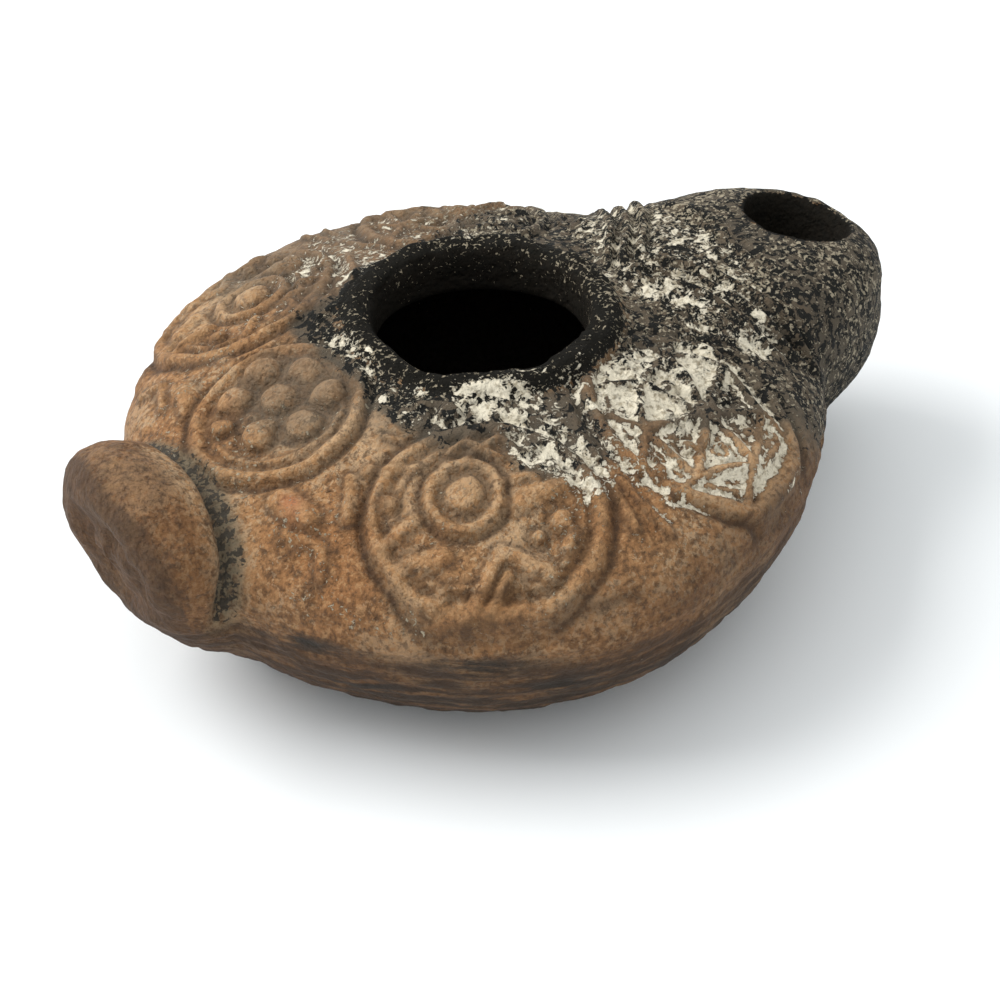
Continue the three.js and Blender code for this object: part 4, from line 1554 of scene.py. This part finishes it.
@dataclass(frozen=True)
class Studio:
    """The white floor, the soft lights and the camera, in metres, degrees and watts."""

    floor_size: float = 6.0
    window: tuple[float, float, float] = (-0.66, 0.62, 0.9)
    window_size: float = 0.9
    window_power: float = 13.5
    ceiling: tuple[float, float, float] = (-0.1, 0.2, 1.5)
    ceiling_size: float = 2.4
    ceiling_power: float = 5.0
    aim: tuple[float, float, float] = (0.0, 0.0, 0.015)
    sky: tuple[float, float, float, float] = (0.95, 0.98, 1.0, 1.0)
    sky_strength: float = 0.8
    eye: tuple[float, float, float] = (-0.12752, -0.20226, 0.19382)
    azimuth: float = -32.17
    elevation: float = 38.15
    roll: float = -1.89
    lens: float = 99.7
    sensor: float = 36.0

    def floor(self, material: bpy.types.Material) -> None:
        """Lays the floor.

        Args:
            material: Its material.
        """
        half = self.floor_size / 2
        mesh = bpy.data.meshes.new("floor")
        mesh.from_pydata([(-half, -half, 0), (half, -half, 0), (half, half, 0), (-half, half, 0)], [], [(0, 1, 2, 3)])
        floor = bpy.data.objects.new("floor", mesh)
        bpy.context.collection.objects.link(floor)
        mesh.materials.append(material)

    def camera(self) -> None:
        """Sets the camera where the photographer stood."""
        az, el, roll = (math.radians(v) for v in (self.azimuth, self.elevation, self.roll))
        back = Vector((math.sin(az) * math.cos(el), -math.cos(az) * math.cos(el), math.sin(el)))
        right = Vector((math.cos(az), math.sin(az), 0.0))
        up = back.cross(right)
        turned = right * math.cos(roll) + up * math.sin(roll)
        raised = up * math.cos(roll) - right * math.sin(roll)
        data = bpy.data.cameras.new("camera")
        data.sensor_width = self.sensor
        data.lens = self.lens
        data.clip_start = 0.01
        data.clip_end = 20.0
        camera = bpy.data.objects.new("camera", data)
        turn = Matrix((turned, raised, back)).transposed().to_4x4()
        camera.matrix_world = Matrix.Translation(self.eye) @ turn
        bpy.context.collection.objects.link(camera)
        bpy.context.scene.camera = camera

    def light(self, name: str, place: tuple[float, float, float], size: float, power: float) -> None:
        """Hangs a soft square light facing the lamp.

        Args:
            name: Its name.
            place: Where it hangs.
            size: Length of its side.
            power: Its power in watts.
        """
        data = bpy.data.lights.new(name, "AREA")
        data.shape = "SQUARE"
        data.size = size
        data.energy = power
        light = bpy.data.objects.new(name, data)
        light.location = place
        light.rotation_euler = (Vector(self.aim) - Vector(place)).to_track_quat("-Z", "Y").to_euler()
        bpy.context.collection.objects.link(light)

    def lights(self) -> None:
        """Hangs a light behind to the left, a broad one overhead and a soft sky, and keeps colours plain."""
        self.light("window", self.window, self.window_size, self.window_power)
        self.light("ceiling", self.ceiling, self.ceiling_size, self.ceiling_power)
        world = bpy.data.worlds.new("sky")
        world.use_nodes = True
        background = world.node_tree.nodes["Background"]
        background.inputs["Color"].default_value = self.sky
        background.inputs["Strength"].default_value = self.sky_strength
        bpy.context.scene.world = world
        bpy.context.scene.view_settings.view_transform = "Standard"


def main() -> None:
    """Dresses the lamp, lights it and hands it to the frame."""
    logging.basicConfig(level=logging.INFO, format="%(message)s")
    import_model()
    specks, grain = speckle_group(), grain_group()
    clay = ClayMaterial(ClayFinish(), specks, grain)
    floor = FloorMaterial(FloorFinish(), grain)
    lamp_form = Lamp()
    lamp = lamp_form.mesh()
    lamp_form.dress(lamp, clay.material)
    log.info("piece %s: %d faces", lamp.name, len(lamp.data.polygons))
    studio = Studio()
    studio.floor(floor.material)
    studio.camera()
    studio.lights()


if __name__ == "__main__":
    main()
